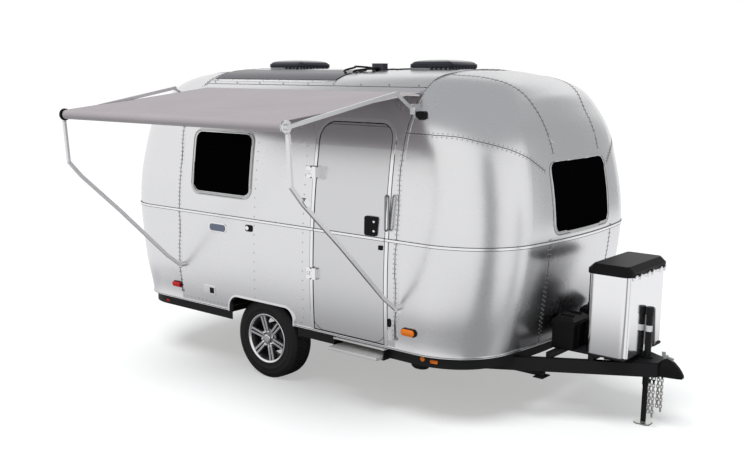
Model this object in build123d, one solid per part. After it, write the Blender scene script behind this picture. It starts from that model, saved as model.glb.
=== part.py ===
from build123d import *
import math
import os

# A single-axle aluminium travel caravan, parked on its wheels and nose jack.
# Lengths are millimetres. X runs forward and is 0 at the centre of the coupling ball,
# Y runs to the left, and Z is measured up from the ground until the pieces are written,
# when everything moves down so that Z is 0 at the centre of the ball too.

# Running gear and coupling
BALL_HEIGHT = 437
SOCKET_RADIUS = 25.9
SOCKET_BELOW = 14
SOCKET_ABOVE = 4
AXLE_X = -3030
TYRE_RADIUS = 345
TYRE_WIDTH = 215
TYRE_SHOULDER = 30
BEAD_RADIUS = 196
RIM_WALL = 8
RIM_FLANGE = 212
WHEEL_Y = 1010
SPOKES = 6
SPOKE_WIDTH = 22
SPOKE_SPREAD = 13
HUB_RADIUS = 62
HUB_BORE = 22.3
SPINDLE_RADIUS = 22
TYRE_CLEARANCE = 0.3

# Body shell
BODY_FRONT = -733
BODY_REAR = -4868
WALL = 45
TRIM_Z = 564
BELT_Z = 1364
SIDE_TOP_Z = 2020
ROOF_Z = 2600
TRIM_Y = 1203
SIDE_BULGE_Y = 1225
SIDE_BULGE_Z = 1100
SIDE_TOP_Y = 1157
CROWN_RADIUS = 4600
END_FACE_RADIUS = 4700
FRONT_SEAM_X = -1615
REAR_SEAM_X = -3985
ROOF_SEAM_Z = 2262

# Plan outlines of the two end caps, one row each: height, how far the front and the rear
# face stand back from the body's ends, and the corner radius in front and behind
CAP_SECTIONS = [
    # height, front_inset, rear_inset, front_corner, rear_corner
    (564, 137, 165, 510, 360),
    (800, 75, 95, 560, 390),
    (1050, 28, 42, 590, 410),
    (1364, 0, 0, 590, 410),
    (1650, 20, 6, 590, 410),
    (1940, 77, 60, 590, 410),
    (2080, 117, 104, 570, 395),
    (2200, 168, 158, 548, 380),
    (2310, 235, 222, 508, 353),
    (2420, 312, 293, 468, 325),
    (2510, 455, 436, 427, 297),
    (2560, 630, 605, 390, 282),
    (2590, 800, 790, 250, 250),
    (2598, 860, 850, 100, 100),
]

# Floor, trims, skirt and wheel boxes
FLOOR_THICKNESS = 40
FLOOR_GAP = 20
TRIM_HEIGHT = 16
TRIM_PROUD = 5
BELT_HEIGHT = 24
BELT_PROUD = 7
SKIRT_BOTTOM_Z = 462
SKIRT_INSET = 34
SKIRT_WALL = 8
WHEEL_BOX_HALF_LENGTH = 400
WHEEL_BOX_TOP_Z = 760
WHEEL_BOX_INNER_Y = 870
PANEL = 6
ARCH_X = -3000
ARCH_HALF_LENGTH = 385
ARCH_TOP_Z = 700
ARCH_CORNER = 110
ARCH_LIP = 16
SEAT = 0.3
UNDERCUT = -0.06

# Chassis
RAIL_TOP_Z = 500
TONGUE_RAIL = (50, 100)
MAIN_RAIL_WIDTH = 50
MAIN_RAIL_Y = 720
MAIN_RAIL_ENDS = (-4560, -1060)
TONGUE_ROOT_X = -1500
TONGUE_TIP_X = -75
TONGUE_TIP_Y = 62
CROSS_MEMBERS = (-4500, -4130, -3480, -2560, -1950, -1290)
CROSS_WIDTH = 40
OUTRIGGER_Y = 1120
AXLE_SIDE = 76
AXLE_LEAD = 150
TORSION_ARM = (60, 24)
BACKPLATE_RADIUS = 135

# Door in the right-hand wall
DOOR_REAR_X = -2410
DOOR_FRONT_X = -1709
DOOR_TOP_Z = 2205
DOOR_CORNER = 130
DOOR_GAP = 8
DOOR_SKIN = 12
DOOR_STEP = 22
DOOR_FRAME = 28
DOOR_FRAME_PROUD = 3
HINGE_Y = -1246
HINGE_RADIUS = 8
HINGE_PIN = 3.5
HINGE_HEIGHTS = (1019, 1813)
HINGE_LEAF = (48, 90)
HANDLE_X = -1842
HANDLE_Z = 1454
HANDLE_SIZE = (112, 146)
GRAB_X = -1680
GRAB_Z = (1430, 1745)

# Windows
PANE = 8
PANE_RECESS = 4
WINDOW_FRAME = 26
FRAME_PROUD = 5
WINDOW_CORNER = 70
SIDE_WINDOW = (-3815, -3130, 1548, 2065)
END_WINDOW_HALF_WIDTH = 434
FRONT_WINDOW_Z = (1426, 1940)
REAR_WINDOW_Z = (1426, 1940)

# Awning
AWNING_FRONT_X = -1580
AWNING_REAR_X = -3950
AWNING_ARM = 28
ROLLER_RADIUS = 33
ROLLER_Y = -2402
ROLLER_Z = 2237
INNER_RAIL_Y = -1190
INNER_RAIL_Z = 2430
INNER_RAIL_RADIUS = 12
FABRIC_THICKNESS = 4
FABRIC_EDGE = 34
AWNING_BRACKET_Z = 2300
# The support arms' route from the wall foot to the roller: distance to the right, height
ARM_ROUTE = [(-1252, 873), (-1400, 982), (-1890, 1428), (-2262, 1748), (-2371, 1865), (-2398, 2185.7)]

# Gas-bottle cover, battery boxes and nose jack
COVER_REAR_X = -540
COVER_FRONT_X = -220
COVER_HALF_WIDTH = 330
COVER_BOTTOM_Z = 555
COVER_TOP_Z = 1150
COVER_CORNER = 55
COVER_WALL = 5
TRAY_THICKNESS = 12
# The tray's cross bars: X, half length and the height they stand on
TRAY_BARS = [(-740, 485, 500), (-480, 335, 500), (-330, 195, 508)]
LID_HEIGHT = 72
LID_CHAMFER = 40
LID_OVERHANG = 12
LID_GAP = 1
BOTTLE_RADIUS = 145
BOTTLE_Y = 160
BOTTLE_HEIGHT = 480
BATTERY_SIZE = (232, 190, 245)
BATTERY_X = -672
BATTERY_Y = 118
JACK_X = -190
JACK_RADIUS = 24
JACK_WALL = 4
JACK_FLANGE = 38
JACK_TOP_Z = 891
JACK_BOTTOM_Z = 300
JACK_LEG_RADIUS = 19.7
JACK_LEG_TOP_Z = 500
JACK_FOOT = (120, 110, 12)
PLATE_THICKNESS = 8

# Entry step, stabilisers
STEP_X = (-2190, -1696)
STEP_TREAD_DEPTH = 240
STEP_OUTER_Y = -1305
STEP_TREAD_Z = 461
STEP_TREAD_HEIGHT = 24
STEP_PLATE_Z = 530
STEP_BACK_Y = -860
STEP_SIDE = 8
STEP_LIP = 24
STABILISER_X = (-1290, -4130)
STABILISER_Y = 480
STABILISER_LEG = (520, 44, 30)
STABILISER_Z = 370

# Safety chains
LINK_LENGTH = 38
LINK_WIDTH = 24
LINK_WIRE = 6
CHAIN_TOP_Z = 399.7
CHAIN_BOTTOM_Z = 60
CHAIN_X = -98
CHAIN_STEP = 28
CHAIN_Y = 80


def block(x0, x1, y0, y1, z0, z1):
    """Rectangular solid between the given limits."""
    return Pos((x0 + x1) / 2, (y0 + y1) / 2, (z0 + z1) / 2) * Box(abs(x1 - x0), abs(y1 - y0), abs(z1 - z0))


def rod(start, end, radius):
    """Round bar from one point to another."""
    a, b = Vector(*start), Vector(*end)
    return Plane(origin=a, z_dir=b - a) * Cylinder(radius, (b - a).length, align=(Align.CENTER, Align.CENTER, Align.MIN))


def bar(start, end, width, height):
    """Rectangular bar from one point to another, its height upright."""
    a, b = Vector(*start), Vector(*end)
    along = (b - a).normalized()
    side = Vector(0, 0, 1).cross(along) if abs(along.Z) < 0.99 else Vector(0, 1, 0)
    plane = Plane(origin=a, x_dir=side, z_dir=along)
    return plane * Box(width, height, (b - a).length, align=(Align.CENTER, Align.CENTER, Align.MIN))


def both_sides(solid):
    """The solid and its mirror image on the other side of the caravan."""
    return Compound(children=[solid, mirror(solid, about=Plane.XZ)])


def circle_through(a, b, c):
    """Centre and radius of the circle through three points (y, z)."""
    d = 2 * (a[0] * (b[1] - c[1]) + b[0] * (c[1] - a[1]) + c[0] * (a[1] - b[1]))
    sa, sb, sc = (p[0] ** 2 + p[1] ** 2 for p in (a, b, c))
    y = (sa * (b[1] - c[1]) + sb * (c[1] - a[1]) + sc * (a[1] - b[1])) / d
    z = (sa * (c[0] - b[0]) + sb * (a[0] - c[0]) + sc * (b[0] - a[0])) / d
    return y, z, math.hypot(a[0] - y, a[1] - z)


# The cross-section is three tangent arcs on each side: bulging wall, shoulder and crown
SIDE_CENTRE_Y, SIDE_CENTRE_Z, SIDE_RADIUS = circle_through(
    (TRIM_Y, TRIM_Z), (SIDE_BULGE_Y, SIDE_BULGE_Z), (SIDE_TOP_Y, SIDE_TOP_Z))
CROWN_CENTRE_Z = ROOF_Z - CROWN_RADIUS
NORMAL_Y = (SIDE_CENTRE_Y - SIDE_TOP_Y) / SIDE_RADIUS
NORMAL_Z = (SIDE_CENTRE_Z - SIDE_TOP_Z) / SIDE_RADIUS
REACH_Z = SIDE_TOP_Z - CROWN_CENTRE_Z
SHOULDER_RADIUS = (CROWN_RADIUS ** 2 - SIDE_TOP_Y ** 2 - REACH_Z ** 2) / (
    2 * (NORMAL_Y * SIDE_TOP_Y + NORMAL_Z * REACH_Z + CROWN_RADIUS))
SHOULDER_Y = SIDE_TOP_Y + NORMAL_Y * SHOULDER_RADIUS
SHOULDER_Z = SIDE_TOP_Z + NORMAL_Z * SHOULDER_RADIUS
CROWN_ANGLE = math.atan2(SHOULDER_Y, SHOULDER_Z - CROWN_CENTRE_Z)


def profile_point(part, share, inset):
    """Point (y, z) on the right-hand or crown arc of the cross-section, moved inwards by inset."""
    if part == "side":
        low = math.atan2(TRIM_Z - SIDE_CENTRE_Z, TRIM_Y - SIDE_CENTRE_Y)
        high = math.atan2(SIDE_TOP_Z - SIDE_CENTRE_Z, SIDE_TOP_Y - SIDE_CENTRE_Y)
        centre, radius = (SIDE_CENTRE_Y, SIDE_CENTRE_Z), SIDE_RADIUS
    elif part == "shoulder":
        low = math.atan2(SIDE_TOP_Z - SIDE_CENTRE_Z, SIDE_TOP_Y - SIDE_CENTRE_Y)
        high = math.pi / 2 - CROWN_ANGLE
        centre, radius = (SHOULDER_Y, SHOULDER_Z), SHOULDER_RADIUS
    else:
        low, high = math.pi / 2 - CROWN_ANGLE, math.pi / 2 + CROWN_ANGLE
        centre, radius = (0, CROWN_CENTRE_Z), CROWN_RADIUS
    angle = low + (high - low) * share
    return centre[0] + (radius - inset) * math.cos(angle), centre[1] + (radius - inset) * math.sin(angle)


def half_width(z, inset=0):
    """Half the width of the cross-section at a height, with its skin moved inwards by inset."""
    if z <= profile_point("side", 1, inset)[1]:
        return SIDE_CENTRE_Y + math.sqrt((SIDE_RADIUS - inset) ** 2 - (z - SIDE_CENTRE_Z) ** 2)
    if z <= profile_point("shoulder", 1, inset)[1]:
        return SHOULDER_Y + math.sqrt((SHOULDER_RADIUS - inset) ** 2 - (z - SHOULDER_Z) ** 2)
    return math.sqrt((CROWN_RADIUS - inset) ** 2 - (z - CROWN_CENTRE_Z) ** 2)


def section_face(inset, foot=0):
    """Face of the whole cross-section at X = 0, its skin moved inwards by inset.

    The side arcs start at the share foot of their length, below 0 to run on under the wall.
    """
    edges = []
    for part, low in (("side", foot), ("shoulder", 0)):
        start, middle, end = (profile_point(part, share, inset) for share in (low, 0.5, 1))
        edges.append(ThreePointArc((0, start[0], start[1]), (0, middle[0], middle[1]), (0, end[0], end[1])))
        edges.append(ThreePointArc((0, -start[0], start[1]), (0, -middle[0], middle[1]), (0, -end[0], end[1])))
    start, middle, end = (profile_point("crown", share, inset) for share in (0, 0.5, 1))
    edges.append(ThreePointArc((0, start[0], start[1]), (0, middle[0], middle[1]), (0, end[0], end[1])))
    toe = profile_point("side", foot, inset)
    edges.append(Line((0, toe[0], toe[1]), (0, -toe[0], toe[1])))
    return Face(Wire(edges))


def filled_section(x0, x1, inset, foot=0):
    """Solid body of constant cross-section between two X positions."""
    return Pos(x0, 0, 0) * extrude(section_face(inset, foot), amount=x1 - x0, dir=(1, 0, 0))


def shell_band(x0, x1, outer, inner):
    """Layer of the shell between two depths below the skin, between two X positions."""
    return filled_section(x0, x1, outer) - filled_section(x0 - 1, x1 + 1, inner, UNDERCUT)


def plan_face(z, half, front, rear, front_corner, rear_corner):
    """Level outline of the body: two side lines, four corner arcs and two bulging end arcs."""
    def corner(tip, sign, radius):
        turn = math.asin((half - radius) / (END_FACE_RADIUS - radius))
        centre_x = tip - sign * (END_FACE_RADIUS - (END_FACE_RADIUS - radius) * math.cos(turn))
        on_side = (centre_x, half)
        bend = (math.pi / 2 + turn) / 2
        middle = (centre_x + sign * radius * math.cos(bend), half - radius + radius * math.sin(bend))
        on_end = (centre_x + sign * radius * math.cos(turn), half - radius + radius * math.sin(turn))
        return on_side, middle, on_end
    f_side, f_mid, f_end = corner(front, 1, front_corner)
    r_side, r_mid, r_end = corner(rear, -1, rear_corner)
    right = [(x, -y, z) for x, y in (f_side, f_mid, f_end, r_side, r_mid, r_end)]
    left = [(x, y, z) for x, y in (f_side, f_mid, f_end, r_side, r_mid, r_end)]
    return Face(Wire([
        Line(right[3], right[0]),
        ThreePointArc(right[0], right[1], right[2]),
        ThreePointArc(right[2], (front, 0, z), left[2]),
        ThreePointArc(left[2], left[1], left[0]),
        Line(left[0], left[3]),
        ThreePointArc(left[3], left[4], left[5]),
        ThreePointArc(left[5], (rear, 0, z), right[5]),
        ThreePointArc(right[5], right[4], right[3]),
    ]))


def end_inset(z, column, wall):
    """How far an end face, moved inwards by the wall, stands back at a height."""
    points = []
    for i, row in enumerate(CAP_SECTIONS):
        before, after = CAP_SECTIONS[max(i - 1, 0)], CAP_SECTIONS[min(i + 1, len(CAP_SECTIONS) - 1)]
        lean = math.atan2(after[column] - before[column], after[0] - before[0])
        points.append((row[0] - wall * math.sin(lean), row[column] + wall * math.cos(lean)))
    for (z0, inset0), (z1, inset1) in zip(points, points[1:]):
        if z <= z1:
            return inset0 + (inset1 - inset0) * (z - z0) / (z1 - z0)
    return points[-1][1]


def cap_loft(wall):
    """Whole body as one loft through its plan outlines, its skin moved inwards by the wall."""
    faces = []
    for z, front_inset, rear_inset, front_corner, rear_corner in CAP_SECTIONS:
        level = z
        if wall:
            level = TRIM_Z - 60 if z == TRIM_Z else z - wall * ((z - TRIM_Z) / (ROOF_Z - TRIM_Z)) ** 4
            front_inset, rear_inset = end_inset(level, 1, wall), end_inset(level, 2, wall)
        half = half_width(level, wall)
        faces.append(plan_face(level, half, BODY_FRONT - front_inset, BODY_REAR + rear_inset,
                               min(front_corner - wall, half - 12), min(rear_corner - wall, half - 12)))
    return loft(faces)


def plan_ring(z0, z1, outer, inner):
    """Level band around the body's foot outline between two offsets, positive outwards."""
    _, front_inset, rear_inset, front_corner, rear_corner = CAP_SECTIONS[0]
    def face(offset):
        return plan_face(z0, half_width(TRIM_Z) + offset, BODY_FRONT - front_inset + offset,
                         BODY_REAR + rear_inset - offset, front_corner + offset, rear_corner + offset)
    return extrude(face(outer), amount=z1 - z0) - Pos(0, 0, -1) * extrude(face(inner), amount=z1 - z0 + 2)


def side_outline(x0, x1, z0, z1, radius, grow=0):
    """Rounded rectangle seen from the side, as a prism through the whole right-hand wall."""
    sketch = Plane.XZ * (Pos((x0 + x1) / 2, (z0 + z1) / 2) * RectangleRounded(
        x1 - x0 + 2 * grow, z1 - z0 + 2 * grow, radius + grow))
    return Pos(0, -900, 0) * extrude(sketch, amount=500)


def door_outline(shrink):
    """The door's outline seen from the side, as a prism: square at the foot, round at the top."""
    x0, x1, top = DOOR_REAR_X + shrink, DOOR_FRONT_X - shrink, DOOR_TOP_Z - shrink
    foot = TRIM_Z + shrink
    radius = DOOR_CORNER - shrink
    face = Plane.XZ * make_face(Polyline((x0, foot), (x1, foot), (x1, top), (x0, top), close=True).edges())
    prism = Pos(0, -900, 0) * extrude(face, amount=500)
    corners = prism.edges().filter_by(Axis.Y).group_by(Axis.Z)[-1]
    return fillet(corners, radius)


def end_outline(heights, sign, grow=0):
    """The end window's outline seen from the front, as a prism through the end wall."""
    z0, z1 = heights
    sketch = Plane.YZ * (Pos(0, (z0 + z1) / 2) * RectangleRounded(
        2 * (END_WINDOW_HALF_WIDTH + grow), z1 - z0 + 2 * grow, WINDOW_CORNER + grow))
    start = BODY_FRONT - 400 if sign > 0 else BODY_REAR + 400
    return Pos(start, 0, 0) * extrude(sketch, amount=sign * 500)


def arch_prism(grow, depth_from, depth_to):
    """The wheel arch seen from the side, as a prism between two distances to the right."""
    x0, x1, top = ARCH_X - ARCH_HALF_LENGTH - grow, ARCH_X + ARCH_HALF_LENGTH + grow, ARCH_TOP_Z + grow
    foot = TRIM_Z - 110
    face = Plane.XZ * make_face(Polyline((x0, foot), (x1, foot), (x1, top), (x0, top), close=True).edges())
    prism = Pos(0, -depth_from, 0) * extrude(face, amount=depth_to - depth_from)
    return fillet(prism.edges().filter_by(Axis.Y).group_by(Axis.Z)[-1], ARCH_CORNER + grow)


far = 4000
nodes = {}

# Body shell
outer_loft = cap_loft(0)
shell_loft = outer_loft - cap_loft(WALL)
front_half = block(FRONT_SEAM_X, far, -far, far, 0, far)
rear_half = block(-2 * far, REAR_SEAM_X, -far, far, 0, far)
front_opening = end_outline(FRONT_WINDOW_Z, 1, WINDOW_FRAME)
rear_opening = end_outline(REAR_WINDOW_Z, -1, WINDOW_FRAME)
front_shell = shell_loft & front_half
rear_shell = shell_loft & rear_half
nodes["front_cap"] = front_shell - front_opening
nodes["rear_cap"] = rear_shell - rear_opening

ring = shell_band(REAR_SEAM_X, FRONT_SEAM_X, 0, WALL)
right_of_centre = block(-far * 2, far, -far, 0, 0, ROOF_SEAM_Z)
nodes["roof"] = ring & block(-far * 2, far, -far, far, ROOF_SEAM_Z, far)
side_wall = ring & right_of_centre
window_opening = side_outline(*SIDE_WINDOW, WINDOW_CORNER, WINDOW_FRAME)
arch_opening = arch_prism(0, 900, 1400)
plain_wall = side_wall - window_opening - arch_opening
nodes["wall_left"] = mirror(plain_wall, about=Plane.XZ)
nodes["wall_right"] = plain_wall - door_outline(0)

# Windows: each frame is a bar all round the opening, each pane a curved plate inside it
frame_band = shell_band(SIDE_WINDOW[0] - 60, SIDE_WINDOW[1] + 60, -FRAME_PROUD, WALL)
pane_band = shell_band(SIDE_WINDOW[0] - 60, SIDE_WINDOW[1] + 60, PANE_RECESS, PANE_RECESS + PANE)
glass_outline = side_outline(*SIDE_WINDOW, WINDOW_CORNER)
side_frame = frame_band & (window_opening - glass_outline)
side_pane = pane_band & glass_outline
nodes["side_windows"] = both_sides(side_pane)
end_panes = []
frames = [side_frame, mirror(side_frame, about=Plane.XZ)]
for shell, heights, sign in ((front_shell, FRONT_WINDOW_Z, 1), (rear_shell, REAR_WINDOW_Z, -1)):
    glass = end_outline(heights, sign)
    frames.append(shell & (end_outline(heights, sign, WINDOW_FRAME) - glass))
    outside = glass & (Pos(-sign * PANE_RECESS, 0, 0) * outer_loft)
    end_panes.append(outside - Pos(-sign * (PANE_RECESS + PANE), 0, 0) * outer_loft)
nodes["end_windows"] = Compound(children=end_panes)
nodes["window_frames"] = Compound(children=frames)

# Floor, skirt, trims and wheel boxes
wheel_well = block(AXLE_X - WHEEL_BOX_HALF_LENGTH, AXLE_X + WHEEL_BOX_HALF_LENGTH,
                   -far, -WHEEL_BOX_INNER_Y, 0, WHEEL_BOX_TOP_Z)
wheel_wells = both_sides(wheel_well)
_, foot_front, foot_rear, foot_front_corner, foot_rear_corner = CAP_SECTIONS[0]
floor_inset = WALL + FLOOR_GAP
floor = extrude(plan_face(TRIM_Z, half_width(TRIM_Z) - floor_inset, BODY_FRONT - foot_front - floor_inset,
                          BODY_REAR + foot_rear + floor_inset, foot_front_corner - floor_inset,
                          foot_rear_corner - floor_inset), amount=FLOOR_THICKNESS)
nodes["floor"] = floor - wheel_wells

well_wall = block(AXLE_X - WHEEL_BOX_HALF_LENGTH, AXLE_X + WHEEL_BOX_HALF_LENGTH,
                  -half_width(ARCH_TOP_Z, WALL) + 4, -WHEEL_BOX_INNER_Y, TRIM_Z, WHEEL_BOX_TOP_Z)
well_space = block(AXLE_X - WHEEL_BOX_HALF_LENGTH + PANEL, AXLE_X + WHEEL_BOX_HALF_LENGTH - PANEL,
                   -far, -WHEEL_BOX_INNER_Y - PANEL, 0, WHEEL_BOX_TOP_Z - PANEL)
nodes["wheel_boxes"] = both_sides((well_wall & filled_section(-4000, -2000, WALL + SEAT)) - well_space)

arch_liner = arch_prism(0, half_width(ARCH_TOP_Z, WALL) + 1, half_width(TRIM_Z) + 14) - arch_prism(-ARCH_LIP, 1100, 1300)
liner_foot = block(-far * 2, 0, -far, far, 0, TRIM_Z - TRIM_HEIGHT)
nodes["arch_trims"] = both_sides(arch_liner - liner_foot)

trim_gap = both_sides(arch_prism(0, 1000, 1400))
nodes["lower_trim"] = plan_ring(TRIM_Z - TRIM_HEIGHT, TRIM_Z, TRIM_PROUD, -WALL) - trim_gap

tongue_root = (TONGUE_ROOT_X, -MAIN_RAIL_Y, RAIL_TOP_Z - TONGUE_RAIL[1] / 2)
tongue_bend = (-1130, -MAIN_RAIL_Y, RAIL_TOP_Z - TONGUE_RAIL[1] / 2)
tongue_tip = (TONGUE_TIP_X + 40, -TONGUE_TIP_Y + 25, RAIL_TOP_Z - TONGUE_RAIL[1] / 2)


def tongue_rail(clearance):
    """Right-hand drawbar rail, bent inwards in front of the body, as one bent box beam."""
    width, height = TONGUE_RAIL[0] + 2 * clearance, TONGUE_RAIL[1] + 2 * clearance
    path = Wire([Line(tongue_root, tongue_bend), Line(tongue_bend, tongue_tip)])
    profile = Plane(origin=tongue_root, x_dir=(0, 1, 0), z_dir=(1, 0, 0)) * Rectangle(width, height)
    beam = sweep(profile, path=path, transition=Transition.RIGHT)
    return beam & block(TONGUE_ROOT_X - 50, TONGUE_TIP_X, -far, far, 0, far)


step_space = block(STEP_X[0] - 12, STEP_X[1] + 12, -far, -900, 0, STEP_PLATE_Z + 14)
rail_space = both_sides(tongue_rail(3))
skirt_top = TRIM_Z - TRIM_HEIGHT
skirt = plan_ring(SKIRT_BOTTOM_Z, skirt_top, -SKIRT_INSET, -SKIRT_INSET - SKIRT_WALL)
nodes["skirt"] = skirt - both_sides(arch_prism(0, 1000, 1400)) - step_space - rail_space

def belt_face(offset):
    """Level outline of the body at its belt line, moved outwards by the offset."""
    row = [row for row in CAP_SECTIONS if row[0] == BELT_Z][0]
    return plan_face(BELT_Z - BELT_HEIGHT / 2, half_width(BELT_Z) + offset, BODY_FRONT + offset,
                     BODY_REAR - offset, row[3] + offset, row[4] + offset)


belt = extrude(belt_face(BELT_PROUD), amount=BELT_HEIGHT) - Pos(0, 0, -1) * extrude(
    belt_face(0.7), amount=BELT_HEIGHT + 2)
nodes["belt_trim"] = belt - Pos(0, -300, 0) * door_outline(0)
door_belt = belt & (Pos(0, -300, 0) * door_outline(DOOR_GAP))

# Door with its hinges, handle and frame
door_skin = shell_band(DOOR_REAR_X, DOOR_FRONT_X, 0, DOOR_SKIN) & door_outline(DOOR_GAP)
door_core = shell_band(DOOR_REAR_X, DOOR_FRONT_X, DOOR_SKIN, WALL) & door_outline(DOOR_GAP + DOOR_STEP)
nodes["door_panel"] = door_skin + door_core
nodes["door_trim"] = door_belt
frame_outer = shell_band(DOOR_REAR_X - 60, DOOR_FRONT_X + 60, -DOOR_FRAME_PROUD, -SEAT)
above_trim = block(-2 * far, 0, -far, far, TRIM_Z + 1, far)
door_surround = (frame_outer & door_outline(-DOOR_FRAME) & above_trim) - door_outline(0) - (
    block(-2 * far, 0, -far, far, BELT_Z - BELT_HEIGHT / 2 - 1, BELT_Z + BELT_HEIGHT / 2 + 1))

leaf_length, leaf_height = HINGE_LEAF
knuckle = leaf_height / 3
outer_body = filled_section(REAR_SEAM_X, FRONT_SEAM_X, -SEAT)
framed_body = filled_section(REAR_SEAM_X, FRONT_SEAM_X, -DOOR_FRAME_PROUD - SEAT)
door_leaves, frame_leaves = [], []
for height in HINGE_HEIGHTS:
    skin_y = -half_width(height)
    axis_x = DOOR_REAR_X
    barrel = rod((axis_x, HINGE_Y, height - knuckle / 2 + 1), (axis_x, HINGE_Y, height + knuckle / 2 - 1), HINGE_RADIUS)
    arm = block(axis_x, axis_x + leaf_length, HINGE_Y - HINGE_RADIUS, skin_y + 6,
                height - knuckle / 2 + 1, height + knuckle / 2 - 1)
    leaf = block(axis_x + 12, axis_x + leaf_length, HINGE_Y - HINGE_RADIUS, skin_y + 6,
                 height - leaf_height / 2, height + leaf_height / 2)
    pin_hole = rod((axis_x, HINGE_Y, height - leaf_height), (axis_x, HINGE_Y, height + leaf_height), HINGE_PIN + 0.5)
    door_leaves.append((barrel + arm + leaf) - outer_body - pin_hole)
    fixed = rod((axis_x, HINGE_Y, height - leaf_height / 2), (axis_x, HINGE_Y, height + leaf_height / 2), HINGE_PIN)
    for sign in (-1, 1):
        z0, z1 = sorted((height + sign * (knuckle / 2 + 1), height + sign * leaf_height / 2))
        fixed += rod((axis_x, HINGE_Y, z0), (axis_x, HINGE_Y, z1), HINGE_RADIUS)
        fixed += block(axis_x - leaf_length, axis_x, HINGE_Y - 3, skin_y + 6, z0, z1)
    frame_leaves.append(fixed - framed_body)
nodes["door_hinges"] = Compound(children=door_leaves)
nodes["door_frame"] = Compound(children=[*door_surround.solids(), *frame_leaves])

handle_skin = half_width(HANDLE_Z)
handle = block(HANDLE_X - HANDLE_SIZE[0] / 2, HANDLE_X + HANDLE_SIZE[0] / 2, -handle_skin - 16, -handle_skin + 20,
               HANDLE_Z - HANDLE_SIZE[1] / 2, HANDLE_Z + HANDLE_SIZE[1] / 2)
handle = fillet(handle.edges().filter_by(Axis.Y), 16)
nodes["door_handle"] = handle - outer_body

grab_stand = 48
grab_y = -half_width(sum(GRAB_Z) / 2)
grab = rod((GRAB_X, grab_y - grab_stand, GRAB_Z[0] + 20), (GRAB_X, grab_y - grab_stand, GRAB_Z[1] - 20), 9)
for z in (GRAB_Z[0] + 20, GRAB_Z[1] - 20):
    grab += Pos(GRAB_X, grab_y - grab_stand, z) * Sphere(9)
    grab += rod((GRAB_X, grab_y - grab_stand, z), (GRAB_X, grab_y + 20, z), 9)
nodes["grab_handle"] = grab - framed_body

# Chassis
nodes["tongue_rails"] = both_sides(tongue_rail(0))
main_rail = block(*MAIN_RAIL_ENDS, -MAIN_RAIL_Y - MAIN_RAIL_WIDTH / 2, -MAIN_RAIL_Y + MAIN_RAIL_WIDTH / 2,
                  RAIL_TOP_Z, TRIM_Z)
nodes["main_rails"] = both_sides(main_rail)
members = []
for x in CROSS_MEMBERS:
    inner = MAIN_RAIL_Y - MAIN_RAIL_WIDTH / 2
    members.append(block(x - CROSS_WIDTH / 2, x + CROSS_WIDTH / 2, -inner, inner, RAIL_TOP_Z, TRIM_Z))
    if abs(x) > 1300:
        outer = MAIN_RAIL_Y + MAIN_RAIL_WIDTH / 2
        reach = OUTRIGGER_Y if abs(x) < 4300 else OUTRIGGER_Y - 230
        for sign in (-1, 1):
            members.append(block(x - CROSS_WIDTH / 2, x + CROSS_WIDTH / 2, sign * outer, sign * reach, RAIL_TOP_Z, TRIM_Z))

# Axle: square torsion tube under the rails, trailing arms, back plates and spindles
axle_x = AXLE_X + AXLE_LEAD
axle_z = RAIL_TOP_Z - 100 - AXLE_SIDE / 2
arm_y = 845
axle = block(axle_x - AXLE_SIDE / 2, axle_x + AXLE_SIDE / 2, -arm_y + 12, arm_y - 12,
             axle_z - AXLE_SIDE / 2, axle_z + AXLE_SIDE / 2)
spindle_end = WHEEL_Y + 40
for sign in (-1, 1):
    axle += block(axle_x - 60, axle_x + 60, sign * (MAIN_RAIL_Y - 20), sign * (MAIN_RAIL_Y + 20),
                  axle_z + AXLE_SIDE / 2, RAIL_TOP_Z)
    axle += bar((axle_x, sign * arm_y, axle_z), (AXLE_X, sign * arm_y, TYRE_RADIUS), TORSION_ARM[1], TORSION_ARM[0])
    axle += rod((axle_x, sign * (arm_y - 12), axle_z), (axle_x, sign * (arm_y + 12), axle_z), 42)
    axle += rod((AXLE_X, sign * (arm_y - 12), TYRE_RADIUS), (AXLE_X, sign * (arm_y + 20), TYRE_RADIUS), 36)
    axle += rod((AXLE_X, sign * (arm_y + 12), TYRE_RADIUS), (AXLE_X, sign * (arm_y + 24), TYRE_RADIUS), BACKPLATE_RADIUS)
    axle += rod((AXLE_X, sign * (arm_y + 20), TYRE_RADIUS), (AXLE_X, sign * spindle_end, TYRE_RADIUS), SPINDLE_RADIUS)
nodes["axle"] = axle


def wheel_profile(points):
    """Solid of revolution about the wheel's axis from (radius, distance out from its centre plane)."""
    return revolve(Plane.XY * make_face(Polyline(*points, close=True).edges()), Axis.Y)


half_tyre = TYRE_WIDTH / 2
tyre = wheel_profile([
    (BEAD_RADIUS + TYRE_CLEARANCE, -half_tyre + 12), (RIM_FLANGE + 2, -half_tyre + 12), (BEAD_RADIUS + 40, -half_tyre),
    (TYRE_RADIUS - TYRE_SHOULDER, -half_tyre + 6), (TYRE_RADIUS, -half_tyre + TYRE_SHOULDER),
    (TYRE_RADIUS, half_tyre - TYRE_SHOULDER), (TYRE_RADIUS - TYRE_SHOULDER, half_tyre - 6),
    (BEAD_RADIUS + 40, half_tyre), (RIM_FLANGE + 2, half_tyre - 12), (BEAD_RADIUS + TYRE_CLEARANCE, half_tyre - 12),
])
flange_y = half_tyre - 11.5
barrel = wheel_profile([
    (BEAD_RADIUS, -flange_y), (RIM_FLANGE, -flange_y - 0.5), (RIM_FLANGE, -flange_y - 8), (BEAD_RADIUS - RIM_WALL, -flange_y - 8),
    (BEAD_RADIUS - RIM_WALL, flange_y + 8), (RIM_FLANGE, flange_y + 8), (RIM_FLANGE, flange_y + 0.5), (BEAD_RADIUS, flange_y),
])
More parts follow.
